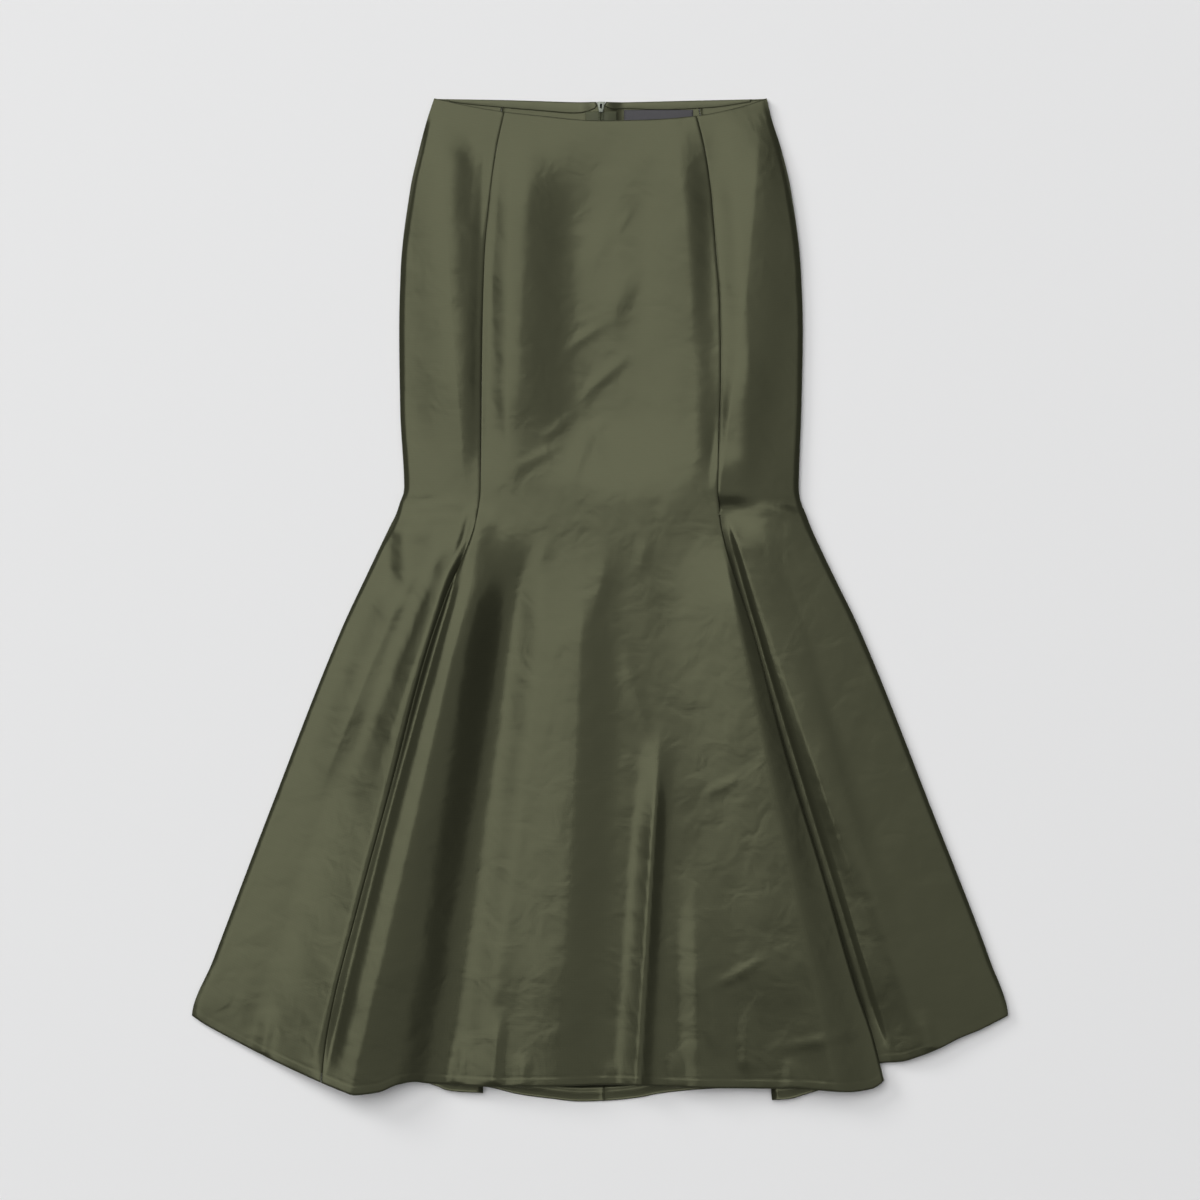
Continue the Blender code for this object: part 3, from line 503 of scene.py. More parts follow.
def strip(left, right, waist, hem, rows, steps):
    """A panel's whole length between two lines, as x and down."""
    upper = zone(left, right, waist, [1 - share for share in rows.upper], steps)
    lower = zone(left, right, hem, rows.lower, steps)
    return tuple(np.vstack(pair) for pair in zip(upper, lower))


def side_by_side(strips):
    """Strips as one grid; each starts on the last column of the one before."""
    grids = [strips[0]] + [tuple(part[:, 1:] for part in later) for later in strips[1:]]
    return tuple(np.hstack(parts) for parts in zip(*grids))


def stand_up(grid, level, edge):
    """Adds the last stretch to a side seam, standing upright beside the grid's edge column."""
    x, down = (part[:, [edge]] for part in grid[:2])
    column = (x, down, np.full_like(x, level))
    pairs = zip(column, grid) if edge == 0 else zip(grid, column)
    return [np.hstack(pair) for pair in pairs]


def pleat_block(fold, seam, hem, outward, rows):
    """The folded part of a centre panel below the flare: round the fold and back to the seam.

    outward is 1 where the fold faces +X and -1 where it faces -X. Returns x, down and how
    far each point is round the fold, from 0 to 1."""
    end = fold.meets(hem)
    down = FLARE + (end - FLARE) * np.array(rows.lower)[:, None]
    radius, line = pleat_radius(down), fold.at(down)
    turn = math.pi * np.array(even(ROLL_STEPS)[1:])[None, :]
    back = np.array(even(UNDER_STEPS)[1:])[None, :]
    start = line - outward * radius
    x = np.hstack((start + outward * radius * np.sin(turn),
                   start + (seam.at(down) - start) * back))
    round_share = np.hstack(((1 - np.cos(turn)) / 2, 1 + 0 * back)) + 0 * down
    return x, down - PLEAT_TUCK * flare_share(down) * round_share, round_share


def join_pleat(main, pleat, rows):
    """A centre panel's x, down and height, with its pleat's columns joined on."""
    above = np.zeros((len(rows.upper), pleat[0].shape[1]))
    return [np.hstack((part, np.vstack((above, extra)))) for part, extra in zip(main, pleat)]


def finish_edges(grid, outwards):
    """Rounds a panel's waist edge and hem, and presses in the line of its hem turning.

    outwards is 1 on the front, whose outer face looks up, and -1 on the back."""
    x, down, height = grid
    drop, width = EDGE_ROUND
    above, half, depth = HEM_LINE
    from_waist, from_hem = down - down[0], down[-1] - down
    near = np.clip(1 - np.minimum(from_waist, from_hem) / width, 0, 1)
    line = np.clip(1 - np.abs(from_hem - above) / half, 0, 1)
    return x, down, height - outwards * (drop * near ** 2 + depth * line ** 2)


# How finely the panels are divided, across them and from the flare up and down.
ROLL_STEPS = 10                 # round a pleat's fold
UNDER_STEPS = 5                 # across a pleat's hidden layer
EDGE_STEPS = 7                  # across the curl at a side seam
EDGE_CROWD = 1.8
RIMS = (0.0015, 0.0035, 0.006, 0.009)       # extra columns just inside a princess seam
END_RIMS = (0.0015, 0.004)                  # extra rows just inside a waist edge and a hem
LINE_RIMS = (0.9805, 0.9845, 0.9885)        # extra rows along the hem turning's edge
FRONT_STEPS, FRONT_LEFT_STEPS = 136, 62
FRONT_GUARD_STEPS, FRONT_RIGHT_STEPS = 12, 54       # under the pleat, and out beyond it
BACK_STEPS, BACK_GUARD_STEPS, BACK_SIDE_STEPS = 34, 8, 30
STRIP_STEPS, TAPE_STEPS, LABEL_STEPS = (89, 10), (14, 79), (47, 15)     # across and down
Rows = namedtuple("Rows", "upper lower")
FRONT_ROWS = Rows(
    tuple(sorted(set(even(96)[:-1] + END_RIMS))),
    tuple(sorted(set(even(140) + LINE_RIMS + tuple(1 - rim for rim in END_RIMS)))),
)
BACK_ROWS = Rows(
    tuple(sorted(set(even(60)[:-1] + END_RIMS))),
    tuple(sorted(set(even(64) + LINE_RIMS + tuple(1 - rim for rim in END_RIMS)))),
)


# The pieces of cloth. Laid holds a panel, what it lies on and the smaller pieces sewn to it, but
# nothing here makes one.
Laid = namedtuple("Laid", "panel rests_on sewn_on")


def link(made):
    bpy.context.scene.collection.objects.link(made)
    return made


def piece(name, bm, finish, body, replaced=()):
    """Makes an object of a bmesh, riding on a body and standing for CAD nodes."""
    mesh = bpy.data.meshes.new(name)
    bm.to_mesh(mesh)
    bm.free()
    mesh.materials.append(finish)
    mesh.shade_smooth()
    made = link(bpy.data.objects.new(name, mesh))
    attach(made, body)
    if replaced:
        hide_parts(*replaced)
    return made


def cloth(name, grid, wall, faces_up, finish, missing=(0, 0), replaced=()):
    """Makes a wall of cloth through a grid of points on its outer face.

    missing is the number of upper rows, and of columns at the end, that those rows lack.
    The UV map is the cut's own, in metres, so that the weave follows each panel."""
    x, down, height = grid
    rows, columns = x.shape
    bm = bmesh.new()
    cut = bm.loops.layers.uv.new("cut")
    bmesh.ops.create_grid(bm, x_segments=columns - 1, y_segments=rows - 1, size=0.5)
    width = float(np.abs(x[rows // 2, -1] - x[rows // 2, 0])) * MM
    length = float(np.abs(down[-1, 0] - down[0, 0])) * MM
    for face in bm.faces:
        for loop in face.loops:
            loop[cut].uv = loop.vert.co.x * width, loop.vert.co.y * length
    spare_rows, spare_columns = missing
    spare = []
    for vert in bm.verts:
        column = round((vert.co.x + 0.5) * (columns - 1))
        row = round((0.5 - vert.co.y) * (rows - 1))
        place = x[row, column], HALF_LENGTH - down[row, column], height[row, column]
        vert.co = Vector(place) * MM
        if row < spare_rows and column >= columns - spare_columns:
            spare.append(vert)
    bmesh.ops.delete(bm, geom=spare, context="VERTS")
    bm.normal_update()
    facing_up = sum(face.calc_area() * face.normal.z for face in bm.faces) > 0
    if facing_up != faces_up:
        bmesh.ops.reverse_faces(bm, faces=bm.faces)
    area = sum(face.calc_area() for face in bm.faces)
    made = piece(name, bm, finish, "skirt", replaced)
    solid = made.modifiers.new("wall", "SOLIDIFY")
    solid.thickness = wall * MM
    solid.offset = -1.0


def front_panels(finish):
    """Makes the front's three panels, the middle one with the pleat along its right edge."""
    waist, rows, half = Curve(FRONT_WAIST), FRONT_ROWS, GAP / 2
    shoulder_left, shoulder_right = outline(1, FRONT_ROLL), outline(2, -FRONT_ROLL)
    foot = SEAM_HEIGHT + half
    left_line = Line(FRONT_SEAM_LEFT, FRONT_SEAM_LEFT)
    right_line = Line(FRONT_SEAM_RIGHT, FRONT_FOLD_RIGHT)

    def shaped(x, down, sheet="main"):
        """The front's height with the grooves of its seams and its slight unevenness."""
        height = front_height(x, down, sheet) + ripple(x, down, RIPPLE)
        height = height - dip(x, down, left_line, SEAM_DIP)
        return height - dip(x, down, right_line, SEAM_DIP) * (down < FLARE)

    seam = Line(FRONT_SEAM_LEFT, FRONT_SEAM_LEFT, -half, -half)
    hem = Curve(FRONT_HEM_LEFT)
    x, down = side_by_side((
        strip(outline(1), shoulder_left, waist, hem, rows, even(EDGE_STEPS, EDGE_CROWD)),
        strip(shoulder_left, seam, waist, hem, rows, rimmed(FRONT_LEFT_STEPS, RIMS, first=False)),
    ))
    grid = stand_up(finish_edges((x, down, shaped(x, down)), 1), foot, 0)
    cloth("front_left", grid, WALL, True, finish, replaced=("front_side_left",))

    seam = Line(FRONT_SEAM_LEFT, FRONT_SEAM_LEFT, half, half)
    fold = Line(FRONT_FOLD_RIGHT, FRONT_FOLD_RIGHT)
    edge = Line(FRONT_SEAM_RIGHT, FRONT_FOLD_RIGHT, -half, lambda down: -pleat_radius(down))
    under = Line(FRONT_FOLD_RIGHT, FRONT_FOLD_RIGHT, 0, lambda down: -front_pleat_width(down))
    hem = Curve(FRONT_HEM_CENTRE)
    x, down = strip(seam, edge, waist, hem, rows, rimmed(FRONT_STEPS, RIMS))
    main = finish_edges((x, down, shaped(x, down)), 1)
    fold_x, fold_down, turned = pleat_block(fold, under, hem, 1, rows)
    fold_z = shaped(fold_x, fold_down)
    beneath = shaped(fold_x, fold_down, "side") - 2 * pleat_radius(fold_down)
    fold_z += (beneath - fold_z) * turned
    grid = join_pleat(main, (fold_x, fold_down, fold_z), rows)
    cloth("front_middle", grid, WALL, True, finish,
          (len(rows.upper), fold_x.shape[1]), ("front_centre",))

    inner = Line(FRONT_SEAM_RIGHT, FRONT_FOLD_RIGHT, half, lambda down: -front_pleat_width(down))
    guard = Line(FRONT_SEAM_RIGHT, FRONT_FOLD_RIGHT, PLEAT_GUARD, PLEAT_GUARD)
    hem = Curve(FRONT_HEM_RIGHT)
    x, down = side_by_side((
        strip(inner, guard, waist, hem, rows, even(FRONT_GUARD_STEPS, EDGE_CROWD)),
        strip(guard, shoulder_right, waist, hem, rows, even(FRONT_RIGHT_STEPS)),
        strip(shoulder_right, outline(2), waist, hem, rows, even(EDGE_STEPS, 1 / EDGE_CROWD)),
    ))
    height = shaped(x, down, "side") - side_drop(x, down, fold, 1)
    grid = stand_up(finish_edges((x, down, height), 1), foot, -1)
    cloth("front_right", grid, WALL, True, finish, replaced=("front_side_right",))


def notch(down):
    """Half the width of the slider's notch in the centre back seam."""
    return GAP / 2 + NOTCH_HALF * np.clip(1 - down / NOTCH_DEPTH, 0, 1)


def turning(name, grid, finish, above):
    """A hem's turned-up width, lying on a back panel's inner face along its last rows."""
    x, down, height = grid
    rows = int(np.argmax(np.median(down[-1] - down, axis=1) < HEM_TURN))
    x, down, height = (part[rows:] for part in (x, down, height))
    level = height + WALL + TRIM_WALL + above
    cloth(name, (x, down, level), TRIM_WALL, True, finish)


def back_panels(finish):
    """Makes the back's four panels, each with its hem turning."""
    waist, rows = Curve(BACK_WAIST), BACK_ROWS
    sides = (
        ("left", 1, -1, BACK_SEAM_LEFT, BACK_FOLD_LEFT, BACK_HEM_LEFT),
        ("right", 2, 1, BACK_SEAM_RIGHT, BACK_FOLD_RIGHT, BACK_HEM_RIGHT),
    )
    for side, column, outward, seam_rows, fold_rows, hem_rows in sides:
        half = outward * GAP / 2
        fold, seam = Line(fold_rows, fold_rows), Line(seam_rows, seam_rows)
        middle = Line(CENTRE_BACK, CENTRE_BACK)
        seam_line = Line(seam_rows, fold_rows)
        centre = Line(CENTRE_BACK, CENTRE_BACK, lambda down: outward * notch(down), half)
        edge = Line(seam_rows, fold_rows, -half, lambda down: -outward * pleat_radius(down))
        hem = Curve(BACK_HEM_CENTRE)
        x, down = strip(centre, edge, waist, hem, rows, rimmed(BACK_STEPS, RIMS))
        height = back_height(x, down) + dip(x, down, middle, BACK_SEAM_DIP)
        height += dip(x, down, seam_line, BACK_SEAM_DIP) * (down < FLARE)
        main = finish_edges((x, down, height), -1)
        fold_x, fold_down, turned = pleat_block(fold, seam, hem, outward, rows)
        fold_z = back_height(fold_x, fold_down) + 2 * pleat_radius(fold_down) * turned
        grid = join_pleat(main, (fold_x, fold_down, fold_z), rows)
        cloth(f"back_middle_{side}", grid, WALL, False, finish,
              (len(rows.upper), fold_x.shape[1]), (f"back_centre_{side}",))
        turning(f"hem_middle_{side}", main, finish, GAP / 2)

        inner = Line(seam_rows, seam_rows, half, half)
        guard = Line(seam_rows, fold_rows, outward * PLEAT_GUARD, outward * PLEAT_GUARD)
        shoulder = outline(column, -outward * BACK_ROLL)
        hem = Curve(hem_rows)
        x, down = side_by_side((
            strip(inner, guard, waist, hem, rows, even(BACK_GUARD_STEPS)),
            strip(guard, shoulder, waist, hem, rows, even(BACK_SIDE_STEPS)),
            strip(shoulder, outline(column), waist, hem, rows, even(EDGE_STEPS, 1 / EDGE_CROWD)),
        ))
        height = back_height(x, down) + side_drop(x, down, fold, outward)
        height += dip(x, down, seam_line, BACK_SEAM_DIP) * (down < FLARE)
        grid = finish_edges((x, down, height), -1)
        cloth(f"back_edge_{side}", stand_up(grid, SEAM_HEIGHT - GAP / 2, -1),
              WALL, False, finish, replaced=(f"back_side_{side}",))
        turned_up = [part[:, :-EDGE_STEPS - 1] for part in grid]
        turning(f"hem_side_{side}", turned_up, finish, GAP / 2)


def lying(x, down, above=0.0):
    """Points on the back's inner face, raised to be the top of a trim that lies on it."""
    return x, down, back_height(x, down) + WALL + GAP + TRIM_WALL + above


def turned_strips(finish):
    """The turned strip inside the back waist, on each side of the zip."""
    waist = Curve(BACK_WAIST)
    seam_x = CENTRE_BACK[0][1]
    steps_across, steps_down = STRIP_STEPS
    share = np.array(even(steps_down))[:, None]
    for side, outward in (("left", -1), ("right", 1)):
        edge = Curve(STRIP_EDGE[side])
        near = seam_x + outward * (NOTCH_HALF - STRIP_INSET)
        x = np.linspace(near, outward * STRIP_REACH, steps_across + 1)
        top = waist.at(x) + STRIP_INSET
        down = top + (edge.at(x) - top) * share
        lean = outward * notch(down) - outward * notch(top)
        x = x + 0 * share + np.where(np.abs(x - seam_x) < NOTCH_NEAR, lean, 0)
        grid = lying(x, down, STRIP_SWELL * np.sin(math.pi * share))
        cloth(f"strip_{side}", grid, TRIM_WALL, True, finish,
              replaced=(f"facing_{side}",))


def zip_tapes(finish, coil_finish):
    """The zip's two tapes, with a row of coil loops along each."""
    top, bottom = ZIP_DOWN
    middle = Curve(CENTRE_BACK)
    steps_across, steps_down = TAPE_STEPS
    down = np.linspace(top, bottom, steps_down + 1)[:, None]
    across = np.array(even(steps_across))[None, :]
    for side, outward in (("left", -1), ("right", 1)):
        x = middle.at(down) + outward * (GAP / 2 + ZIP_TAPE * across)
        cloth(f"tape_{side}", lying(x, down + 0 * x), TRIM_WALL, True, finish,
              replaced=(f"zip_tape_{side}",))
        bm = bmesh.new()
        for count in range(int((bottom - top) / COIL_PITCH)):
            at = top + COIL_START + count * COIL_PITCH
            made = bmesh.ops.create_cone(bm, cap_ends=True, segments=6, radius1=COIL_RADIUS,
                                         radius2=COIL_RADIUS, depth=COIL_REACH)["verts"]
            bmesh.ops.rotate(bm, verts=made, cent=(0, 0, 0),
                             matrix=Matrix.Rotation(math.pi / 2, 3, "Y"))
            bmesh.ops.rotate(bm, verts=made, cent=(0, 0, 0),
                             matrix=Matrix.Rotation(outward * COIL_LEAN, 3, "Z"))
            centre = float(middle.at(at)) + outward * (COIL_APART + COIL_REACH / 2)
            level = float(lying(np.array(centre), np.array(at))[2]) + COIL_RISE
            bmesh.ops.translate(bm, verts=made, vec=(centre, HALF_LENGTH - at, level))
        bmesh.ops.scale(bm, verts=bm.verts, vec=(MM, MM, MM))
        piece(f"coil_{side}", bm, coil_finish, "skirt")


def label(finish, thread):
    """The blank label, held down by a few stitches at each end."""
    steps_across, steps_down = LABEL_STEPS
    x = np.linspace(*LABEL_X, steps_across + 1)[None, :]
    down = np.linspace(*LABEL_DOWN, steps_down + 1)[:, None]
    rise, reach = LABEL_BOW
    bow = rise * np.sin(math.pi * (x - LABEL_X[0]) / (LABEL_X[1] - LABEL_X[0]))
    above = LABEL_LIFT + bow * ease((down - LABEL_DOWN[0]) / reach)
    grid = lying(x + 0 * down, down + 0 * x, above)
    cloth("blank_label", grid, LABEL_WALL, True, finish, replaced=("label",))
    bm = bmesh.new()
    first, pitch, stitches = STITCH_ROW
    for end, inwards in zip(LABEL_X, (STITCH_INSET, -STITCH_INSET)):
        for count in range(stitches):
            made = bmesh.ops.create_cube(bm, size=1.0)["verts"]
            bmesh.ops.scale(bm, verts=made, vec=STITCH)
            at = LABEL_DOWN[0] + first + count * pitch
            level = WALL + GAP + TRIM_WALL + STITCH_RISE
            bmesh.ops.translate(bm, verts=made, vec=(end + inwards, HALF_LENGTH - at, level))
    bmesh.ops.scale(bm, verts=bm.verts, vec=(MM, MM, MM))
    piece("label_stitches", bm, thread, "skirt")


def metal_block(bm, low, high, taper=1.0, rounding=METAL_ROUND):
    """Adds a rounded block between two corners, its end towards the hem taper times as wide."""
    made = bmesh.ops.create_cube(bm, size=1.0)["verts"]
    low, high = Vector(low), Vector(high)
    size, middle = high - low, (low + high) / 2
    for vert in made:
        if vert.co.y < 0:
            vert.co.x *= taper
        vert.co = Vector(a * b for a, b in zip(vert.co, size)) + middle
    # a dict names each edge once, as a set does, but keeps them in order
    edges = dict.fromkeys(edge for vert in made for edge in vert.link_edges)
    bmesh.ops.bevel(bm, geom=list(edges), offset=min(rounding, min(size) * 0.45), segments=3,
                    profile=0.5, affect="EDGES", material=-1)


def metal_ring(bm, outer, inner, half_width):
    """Adds a ring round the pull tab's axis."""
    corners = ((-half_width, inner), (half_width, inner), (half_width, outer),
               (-half_width, outer))
    verts = [bm.verts.new((x, y, 0)) for x, y in corners]
    edges = [bm.edges.new((a, b)) for a, b in zip(verts, verts[1:] + verts[:1])]
    bmesh.ops.spin(bm, geom=verts + edges, cent=(0, 0, 0), axis=(1, 0, 0), angle=2 * math.pi,
                   steps=28, use_merge=True)


def on_the_hinge(name, bm, finish, body, replaced):
    """Finishes a metal piece that was shaped round the pull tab's axis."""
    hinge_x, hinge_down, hinge_height = HINGE
    bmesh.ops.translate(bm, verts=bm.verts, vec=(hinge_x, HALF_LENGTH - hinge_down, hinge_height))
    bmesh.ops.scale(bm, verts=bm.verts, vec=(MM, MM, MM))
    bmesh.ops.recalc_face_normals(bm, faces=bm.faces)
    made = piece(name, bm, finish, body, (replaced,))
    made.data.set_sharp_from_angle(angle=math.radians(40))


def zip_hardware(finish):
    """The slider, with a yoke under the cloth that carries the pull tab on a pin."""
    width, length, thickness = SLIDER_SIZE
    inside = ZIP_LIFT + WALL + GAP - HINGE[2]
    bottom, top = SLIDER_ABOVE - length, SLIDER_ABOVE
    bm = bmesh.new()
    for level in (inside, inside + thickness - SLIDER_PLATE):
        metal_block(bm, (-width / 2, bottom, level), (width / 2, top, level + SLIDER_PLATE),
                    SLIDER_TAPER)
    # the divider between the two plates, and a bar let into the upper one's face
    half, from_bottom, from_top = DIVIDER
    low, high = (inside + level for level in DIVIDER_LEVELS)
    metal_block(bm, (-half, bottom + from_bottom, low), (half, top - from_top, high),
                DIVIDER_TAPER)
    face = inside + thickness
    metal_block(bm, (-BAR_HALF, BAR_ENDS[0], face - BAR_WALL), (BAR_HALF, BAR_ENDS[1], face),
                BAR_TAPER)
    # the post down through the notch, and the yoke's bridge and cheeks
    half_width, half_length = YOKE_HALF
    metal_block(bm, (-POST_HALF, -half_length, YOKE_UNDER),
                (POST_HALF, half_length, inside + POST_BITE))
    metal_block(bm, (-half_width, -half_length, YOKE_UNDER),
                (half_width, half_length, ZIP_LIFT - GAP - HINGE[2]), rounding=SMALL_ROUND)
    for side in (-1, 1):
        near, far = sorted((side * (half_width - YOKE_CHEEK), side * half_width))
        metal_block(bm, (near, -half_length, CHEEK_LEVELS[0]),
                    (far, half_length, CHEEK_LEVELS[1]), rounding=SMALL_ROUND)
    pin = bmesh.ops.create_cone(bm, cap_ends=True, segments=20, radius1=PIN_RADIUS,
                                radius2=PIN_RADIUS, depth=PIN_LENGTH)["verts"]
    bmesh.ops.rotate(bm, verts=pin, cent=(0, 0, 0), matrix=Matrix.Rotation(math.pi / 2, 3, "Y"))
    on_the_hinge("slider", bm, finish, "skirt", "zip_slider")

    # the pull tab: its eye, its neck and its blade
    outer, inner, eye_half = TAB_EYE
    low, high = TAB_LEVEL
    bm = bmesh.new()
    metal_ring(bm, outer, inner, eye_half)
    metal_block(bm, (-outer, NECK_ENDS[0], low), (outer, NECK_ENDS[1], high),
                rounding=SMALL_ROUND)
    metal_block(bm, (-TAB_HALF, -TAB_LENGTH, low), (TAB_HALF, TAB_TOP, high), TAB_TAPER,
                TAB_ROUND)
    on_the_hinge("pull_tab", bm, finish, "pull", "zip_pull")


# The finishes: each cloth goes from its lower to its higher colour.
SATIN_LOW, SATIN_HIGH = (0.0395, 0.0410, 0.0246), (0.0525, 0.0542, 0.0320)
SATIN_ROUGHNESS, SATIN_METALLIC, SATIN_LEVEL = 0.23, 0.38, 0.25
SATIN_TINT = (1.0, 1.02, 0.66, 1.0)
SATIN_THREADS = (0.0016, 0.0024)        # pitch of its bands across and along the cut, in metres
SLUB_SCALE = (70.0, 1300.0, 1.0)        # slubs run along the weft
RUMPLE = 0.6                # the finer unevenness, which the satin's own surface carries
INSIDE_LOW, INSIDE_HIGH = (0.056, 0.058, 0.036), (0.074, 0.077, 0.047)
INSIDE_ROUGHNESS = 0.34
TAPE_LOW, TAPE_HIGH = (0.048, 0.053, 0.026), (0.09, 0.097, 0.048)
CHARCOAL_LOW, CHARCOAL_HIGH = (0.03, 0.029, 0.033), (0.075, 0.072, 0.08)
TAPE_PITCH, LABEL_PITCH = 0.0006, 0.0005        # of their threads, in metres
THREAD = (0.10, 0.10, 0.09)
COIL = (0.075, 0.084, 0.045)
ZIP_METAL = (0.18, 0.195, 0.165)


class Shade:
    """A value in a material. Its operators add Math nodes, and node() adds any other."""

    def __init__(self, tree, socket=None):
        self.tree, self.socket = tree, socket

    def node(self, kind, settings=None, inputs=None, output=0):
        made = self.tree.nodes.new(kind)
        for name, value in (settings or {}).items():
            if name == "stops":
                ramp = made.color_ramp
                for element, (place, colour) in zip((*ramp.elements, None, None), value):
                    element = element or ramp.elements.new(place)
                    element.position, element.color = place, (*colour, 1.0)
            else:
                setattr(made, name, value)
        for key, value in (inputs or {}).items():
            if isinstance(value, Shade):
                self.tree.links.new(value.socket, made.inputs[key])
            else:
                made.inputs[key].default_value = value
        return Shade(self.tree, made.outputs[output])

    def maths(self, operation, first, second):
        return self.node("ShaderNodeMath", {"operation": operation}, {0: first, 1: second})

    def __add__(self, other):
        return self.maths("ADD", self, other)

    def __mul__(self, other):
        return self.maths("MULTIPLY", self, other)

    __radd__, __rmul__ = __add__, __mul__

    def mix(self, first, second):
        """Goes from the first colour to the second by this value."""
        return self.node("ShaderNodeMix", {"data_type": "RGBA"},
                         {"Factor": self, 6: first, 7: second}, output=2)


def finish_of(name, constants):
    """Makes a material and sets its shader's constants.

    Returns it, the shader, and a start for the expressions that feed it."""
    made = bpy.data.materials.new(name)
    made.use_nodes = True
    shader = made.node_tree.nodes["Principled BSDF"]
    for socket, value in constants.items():
        shader.inputs[socket].default_value = value
    return made, shader, Shade(made.node_tree)


def feed(shader, **values):
    """Links varying values to a shader's sockets."""
    for name, value in values.items():
        value.tree.links.new(value.socket, shader.inputs[name.replace("_", " ")])


def threads(start, across, along):
    """Two sets of threads, each as a height from 0 to 1, and the cut's UV map they follow."""
    cut = start.node("ShaderNodeUVMap", {"uv_map": "cut"})
    sets = [
        start.node("ShaderNodeTexWave", {"bands_direction": direction},
                   {"Vector": cut, "Scale": math.pi / (10 * pitch),
                    "Distortion": 1.2, "Detail": 1.0, "Detail Scale": 3.0}, output="Fac")
        for direction, pitch in (("X", across), ("Y", along))
    ]
    return sets, cut


def satin(name, low, high, roughness, metallic):
    """Heavy satin: a smooth face with a broad sheen that takes the cloth's own colour."""
    made, shader, start = finish_of(name, {
        "Metallic": metallic, "Specular IOR Level": SATIN_LEVEL, "Specular Tint": SATIN_TINT,
        "Sheen Weight": 0.02, "Sheen Roughness": 0.4,
    })
    (warp, weft), cut = threads(start, *SATIN_THREADS)
    place = start.node("ShaderNodeTexCoord", output="Object")
    broad = start.node("ShaderNodeTexNoise", {}, {"Vector": place, "Scale": 9.0, "Detail": 3.0})
    fine = start.node("ShaderNodeTexNoise", {}, {"Vector": cut, "Scale": 900.0, "Detail": 2.0})
    rumple = start.node("ShaderNodeTexNoise", {}, {"Vector": place, "Scale": 34.0, "Detail": 2.0,
                                                   "Distortion": 0.4})
    along = cut.node("ShaderNodeVectorMath", {"operation": "MULTIPLY"}, {0: cut, 1: SLUB_SCALE})
    slub = along.node("ShaderNodeTexNoise", {}, {"Vector": along, "Scale": 1.0, "Detail": 2.0})
    weave = warp * 0.35 + weft * 0.65
    tone = broad * 0.4 + weave * 0.15 + fine * 0.15 + slub * 0.3
    soft = rumple.node("ShaderNodeBump", {}, {"Strength": 1.0, "Distance": RUMPLE * MM,
                                              "Height": rumple})
    feed(shader,
         Base_Color=tone.node("ShaderNodeValToRGB", {"stops": ((0.2, low), (0.8, high))},
                              {"Fac": tone}),
         Roughness=roughness - 0.05 + broad * 0.05 + fine * 0.02 + slub * 0.04,
         Normal=weave.node("ShaderNodeBump", {}, {"Strength": 0.12, "Distance": 0.00005,
                                                  "Height": weave + fine * 0.5,
                                                  "Normal": soft}))
    return made


def woven(name, low, high, pitch, roughness):
    """A matt woven tape or label."""
    made, shader, start = finish_of(name, {"Roughness": roughness, "Sheen Weight": 0.08})
    (warp, weft), _ = threads(start, pitch, pitch * 1.4)
    weave = warp * weft
    feed(shader,
         Base_Color=weave.node("ShaderNodeValToRGB", {"stops": ((0.1, low), (0.7, high))},
                               {"Fac": weave}),
         Normal=weave.node("ShaderNodeBump", {}, {"Strength": 0.4, "Distance": 0.0001,
                                                  "Height": weave}))
    return made


def plain(name, colour, roughness, metallic=0.0):
    """One colour, a little worn: for thread, coil and metal."""
    made, shader, start = finish_of(name, {"Roughness": roughness, "Metallic": metallic})
    place = start.node("ShaderNodeTexCoord", output="Object")
    wear = start.node("ShaderNodeTexNoise", {}, {"Vector": place, "Scale": 700.0, "Detail": 3.0})
    darker = [0.86 * part for part in colour]
    feed(shader, Base_Color=wear.mix((*darker, 1.0), (*colour, 1.0)),
         Roughness=roughness - 0.06 + wear * 0.12)
    return made


FLOOR_GREY = (0.83, 0.83, 0.83)
FLOOR_HALF = 6.0            # half the floor's width, in metres
CAMERA_HEIGHT = 4.0         # with a 120 mm lens this frames 1.2 m of the floor
LENS = 120.0
WORLD_COLOUR, WORLD_STRENGTH = (0.9, 0.92, 1.0, 1.0), 0.06
# A lamp stands this far from the middle of the floor, so many degrees off the vertical, on a
# bearing in degrees from +X. Its size and distance are in metres. A hazy lamp lights the
# cloth and casts shadows, but isn't mirrored in the sheen.
Lamp = namedtuple("Lamp", "name energy size distance lean bearing hazy")
LAMPS = (
    Lamp("bank", 3400.0, 18.0, 20.0, 24.2, 130.0, False),
    Lamp("fill", 390.0, 11.5, 20.0, 16.4, -10.0, False),
    Lamp("key", 1650.0, 6.0, 20.0, 66.0, 142.0, True),
)


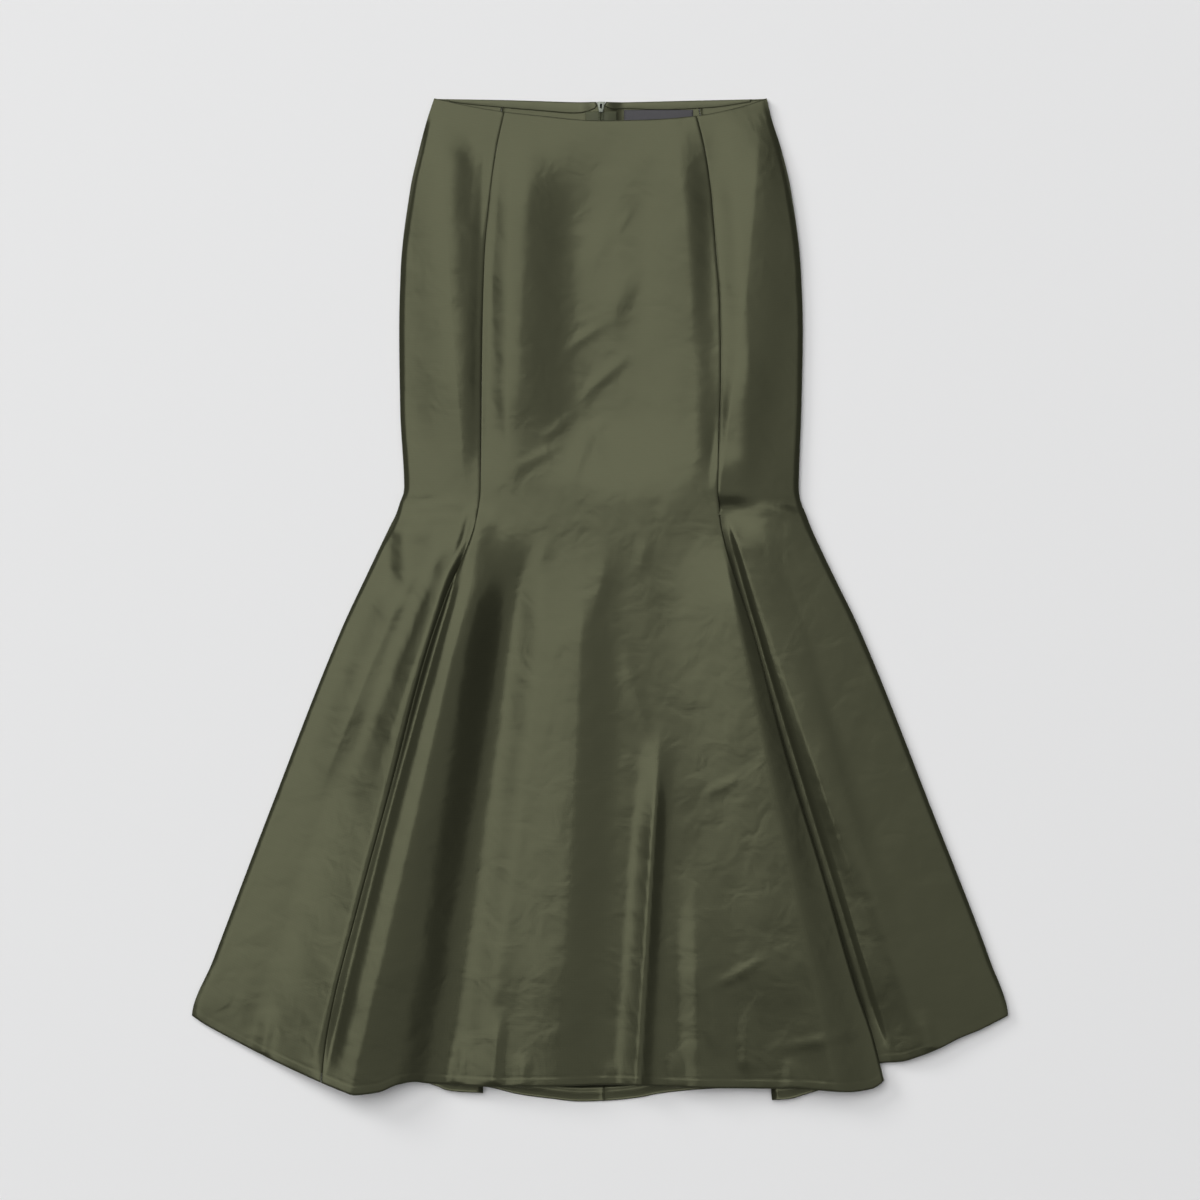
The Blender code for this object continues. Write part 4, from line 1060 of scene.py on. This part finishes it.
def lamps_and_world():
    scene = bpy.context.scene
    for lamp in LAMPS:
        data = bpy.data.lights.new(lamp.name, "AREA")
        data.energy, data.size = lamp.energy, lamp.size
        made = link(bpy.data.objects.new(lamp.name, data))
        lean, bearing = math.radians(lamp.lean), math.radians(lamp.bearing)
        place = Vector((math.sin(lean) * math.cos(bearing), math.sin(lean) * math.sin(bearing),
                        math.cos(lean)))
        made.location = place * lamp.distance
        made.rotation_euler = (-place).to_track_quat("-Z", "Y").to_euler()
        made.visible_glossy = not lamp.hazy
    world = bpy.data.worlds.new("studio")
    world.use_nodes = True
    background = world.node_tree.nodes["Background"]
    background.inputs["Color"].default_value = WORLD_COLOUR
    background.inputs["Strength"].default_value = WORLD_STRENGTH
    scene.world = world
    scene.view_settings.view_transform = "Standard"
    scene.view_settings.look = "None"


def camera_and_floor():
    data = bpy.data.cameras.new("camera")
    data.lens, data.sensor_width = LENS, 36.0
    camera = link(bpy.data.objects.new("camera", data))
    camera.location = (0.0, 0.0, CAMERA_HEIGHT)
    bpy.context.scene.camera = camera
    bm = bmesh.new()
    bmesh.ops.create_grid(bm, x_segments=1, y_segments=1, size=FLOOR_HALF)
    mesh = bpy.data.meshes.new("floor")
    bm.to_mesh(mesh)
    bm.free()
    paper, *_ = finish_of("floor", {"Roughness": 0.9, "Specular IOR Level": 0.1,
                                    "Base Color": (*FLOOR_GREY, 1.0)})
    mesh.materials.append(paper)
    floor = link(bpy.data.objects.new("floor", mesh))


def corners(box):
    return [list(corner) for corner in box]


def main():
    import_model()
    camera_and_floor()
    lamps_and_world()
    cloth_finish = satin("satin", SATIN_LOW, SATIN_HIGH, SATIN_ROUGHNESS, SATIN_METALLIC)
    inside = satin("satin inside", INSIDE_LOW, INSIDE_HIGH, INSIDE_ROUGHNESS, SATIN_METALLIC)
    thread = plain("thread", THREAD, roughness=0.7)
    tape = woven("zip tape", TAPE_LOW, TAPE_HIGH, TAPE_PITCH, roughness=0.7)
    coil = plain("coil", COIL, roughness=0.4)
    charcoal = woven("label", CHARCOAL_LOW, CHARCOAL_HIGH, LABEL_PITCH, roughness=0.6)
    metal = plain("zip metal", ZIP_METAL, roughness=0.42, metallic=0.8)
    front_panels(cloth_finish)
    back_panels(cloth_finish)
    turned_strips(inside)
    zip_tapes(tape, coil)
    label(charcoal, thread)
    zip_hardware(metal)
    bpy.context.view_layer.update()
    bpy.context.view_layer.update()


main()
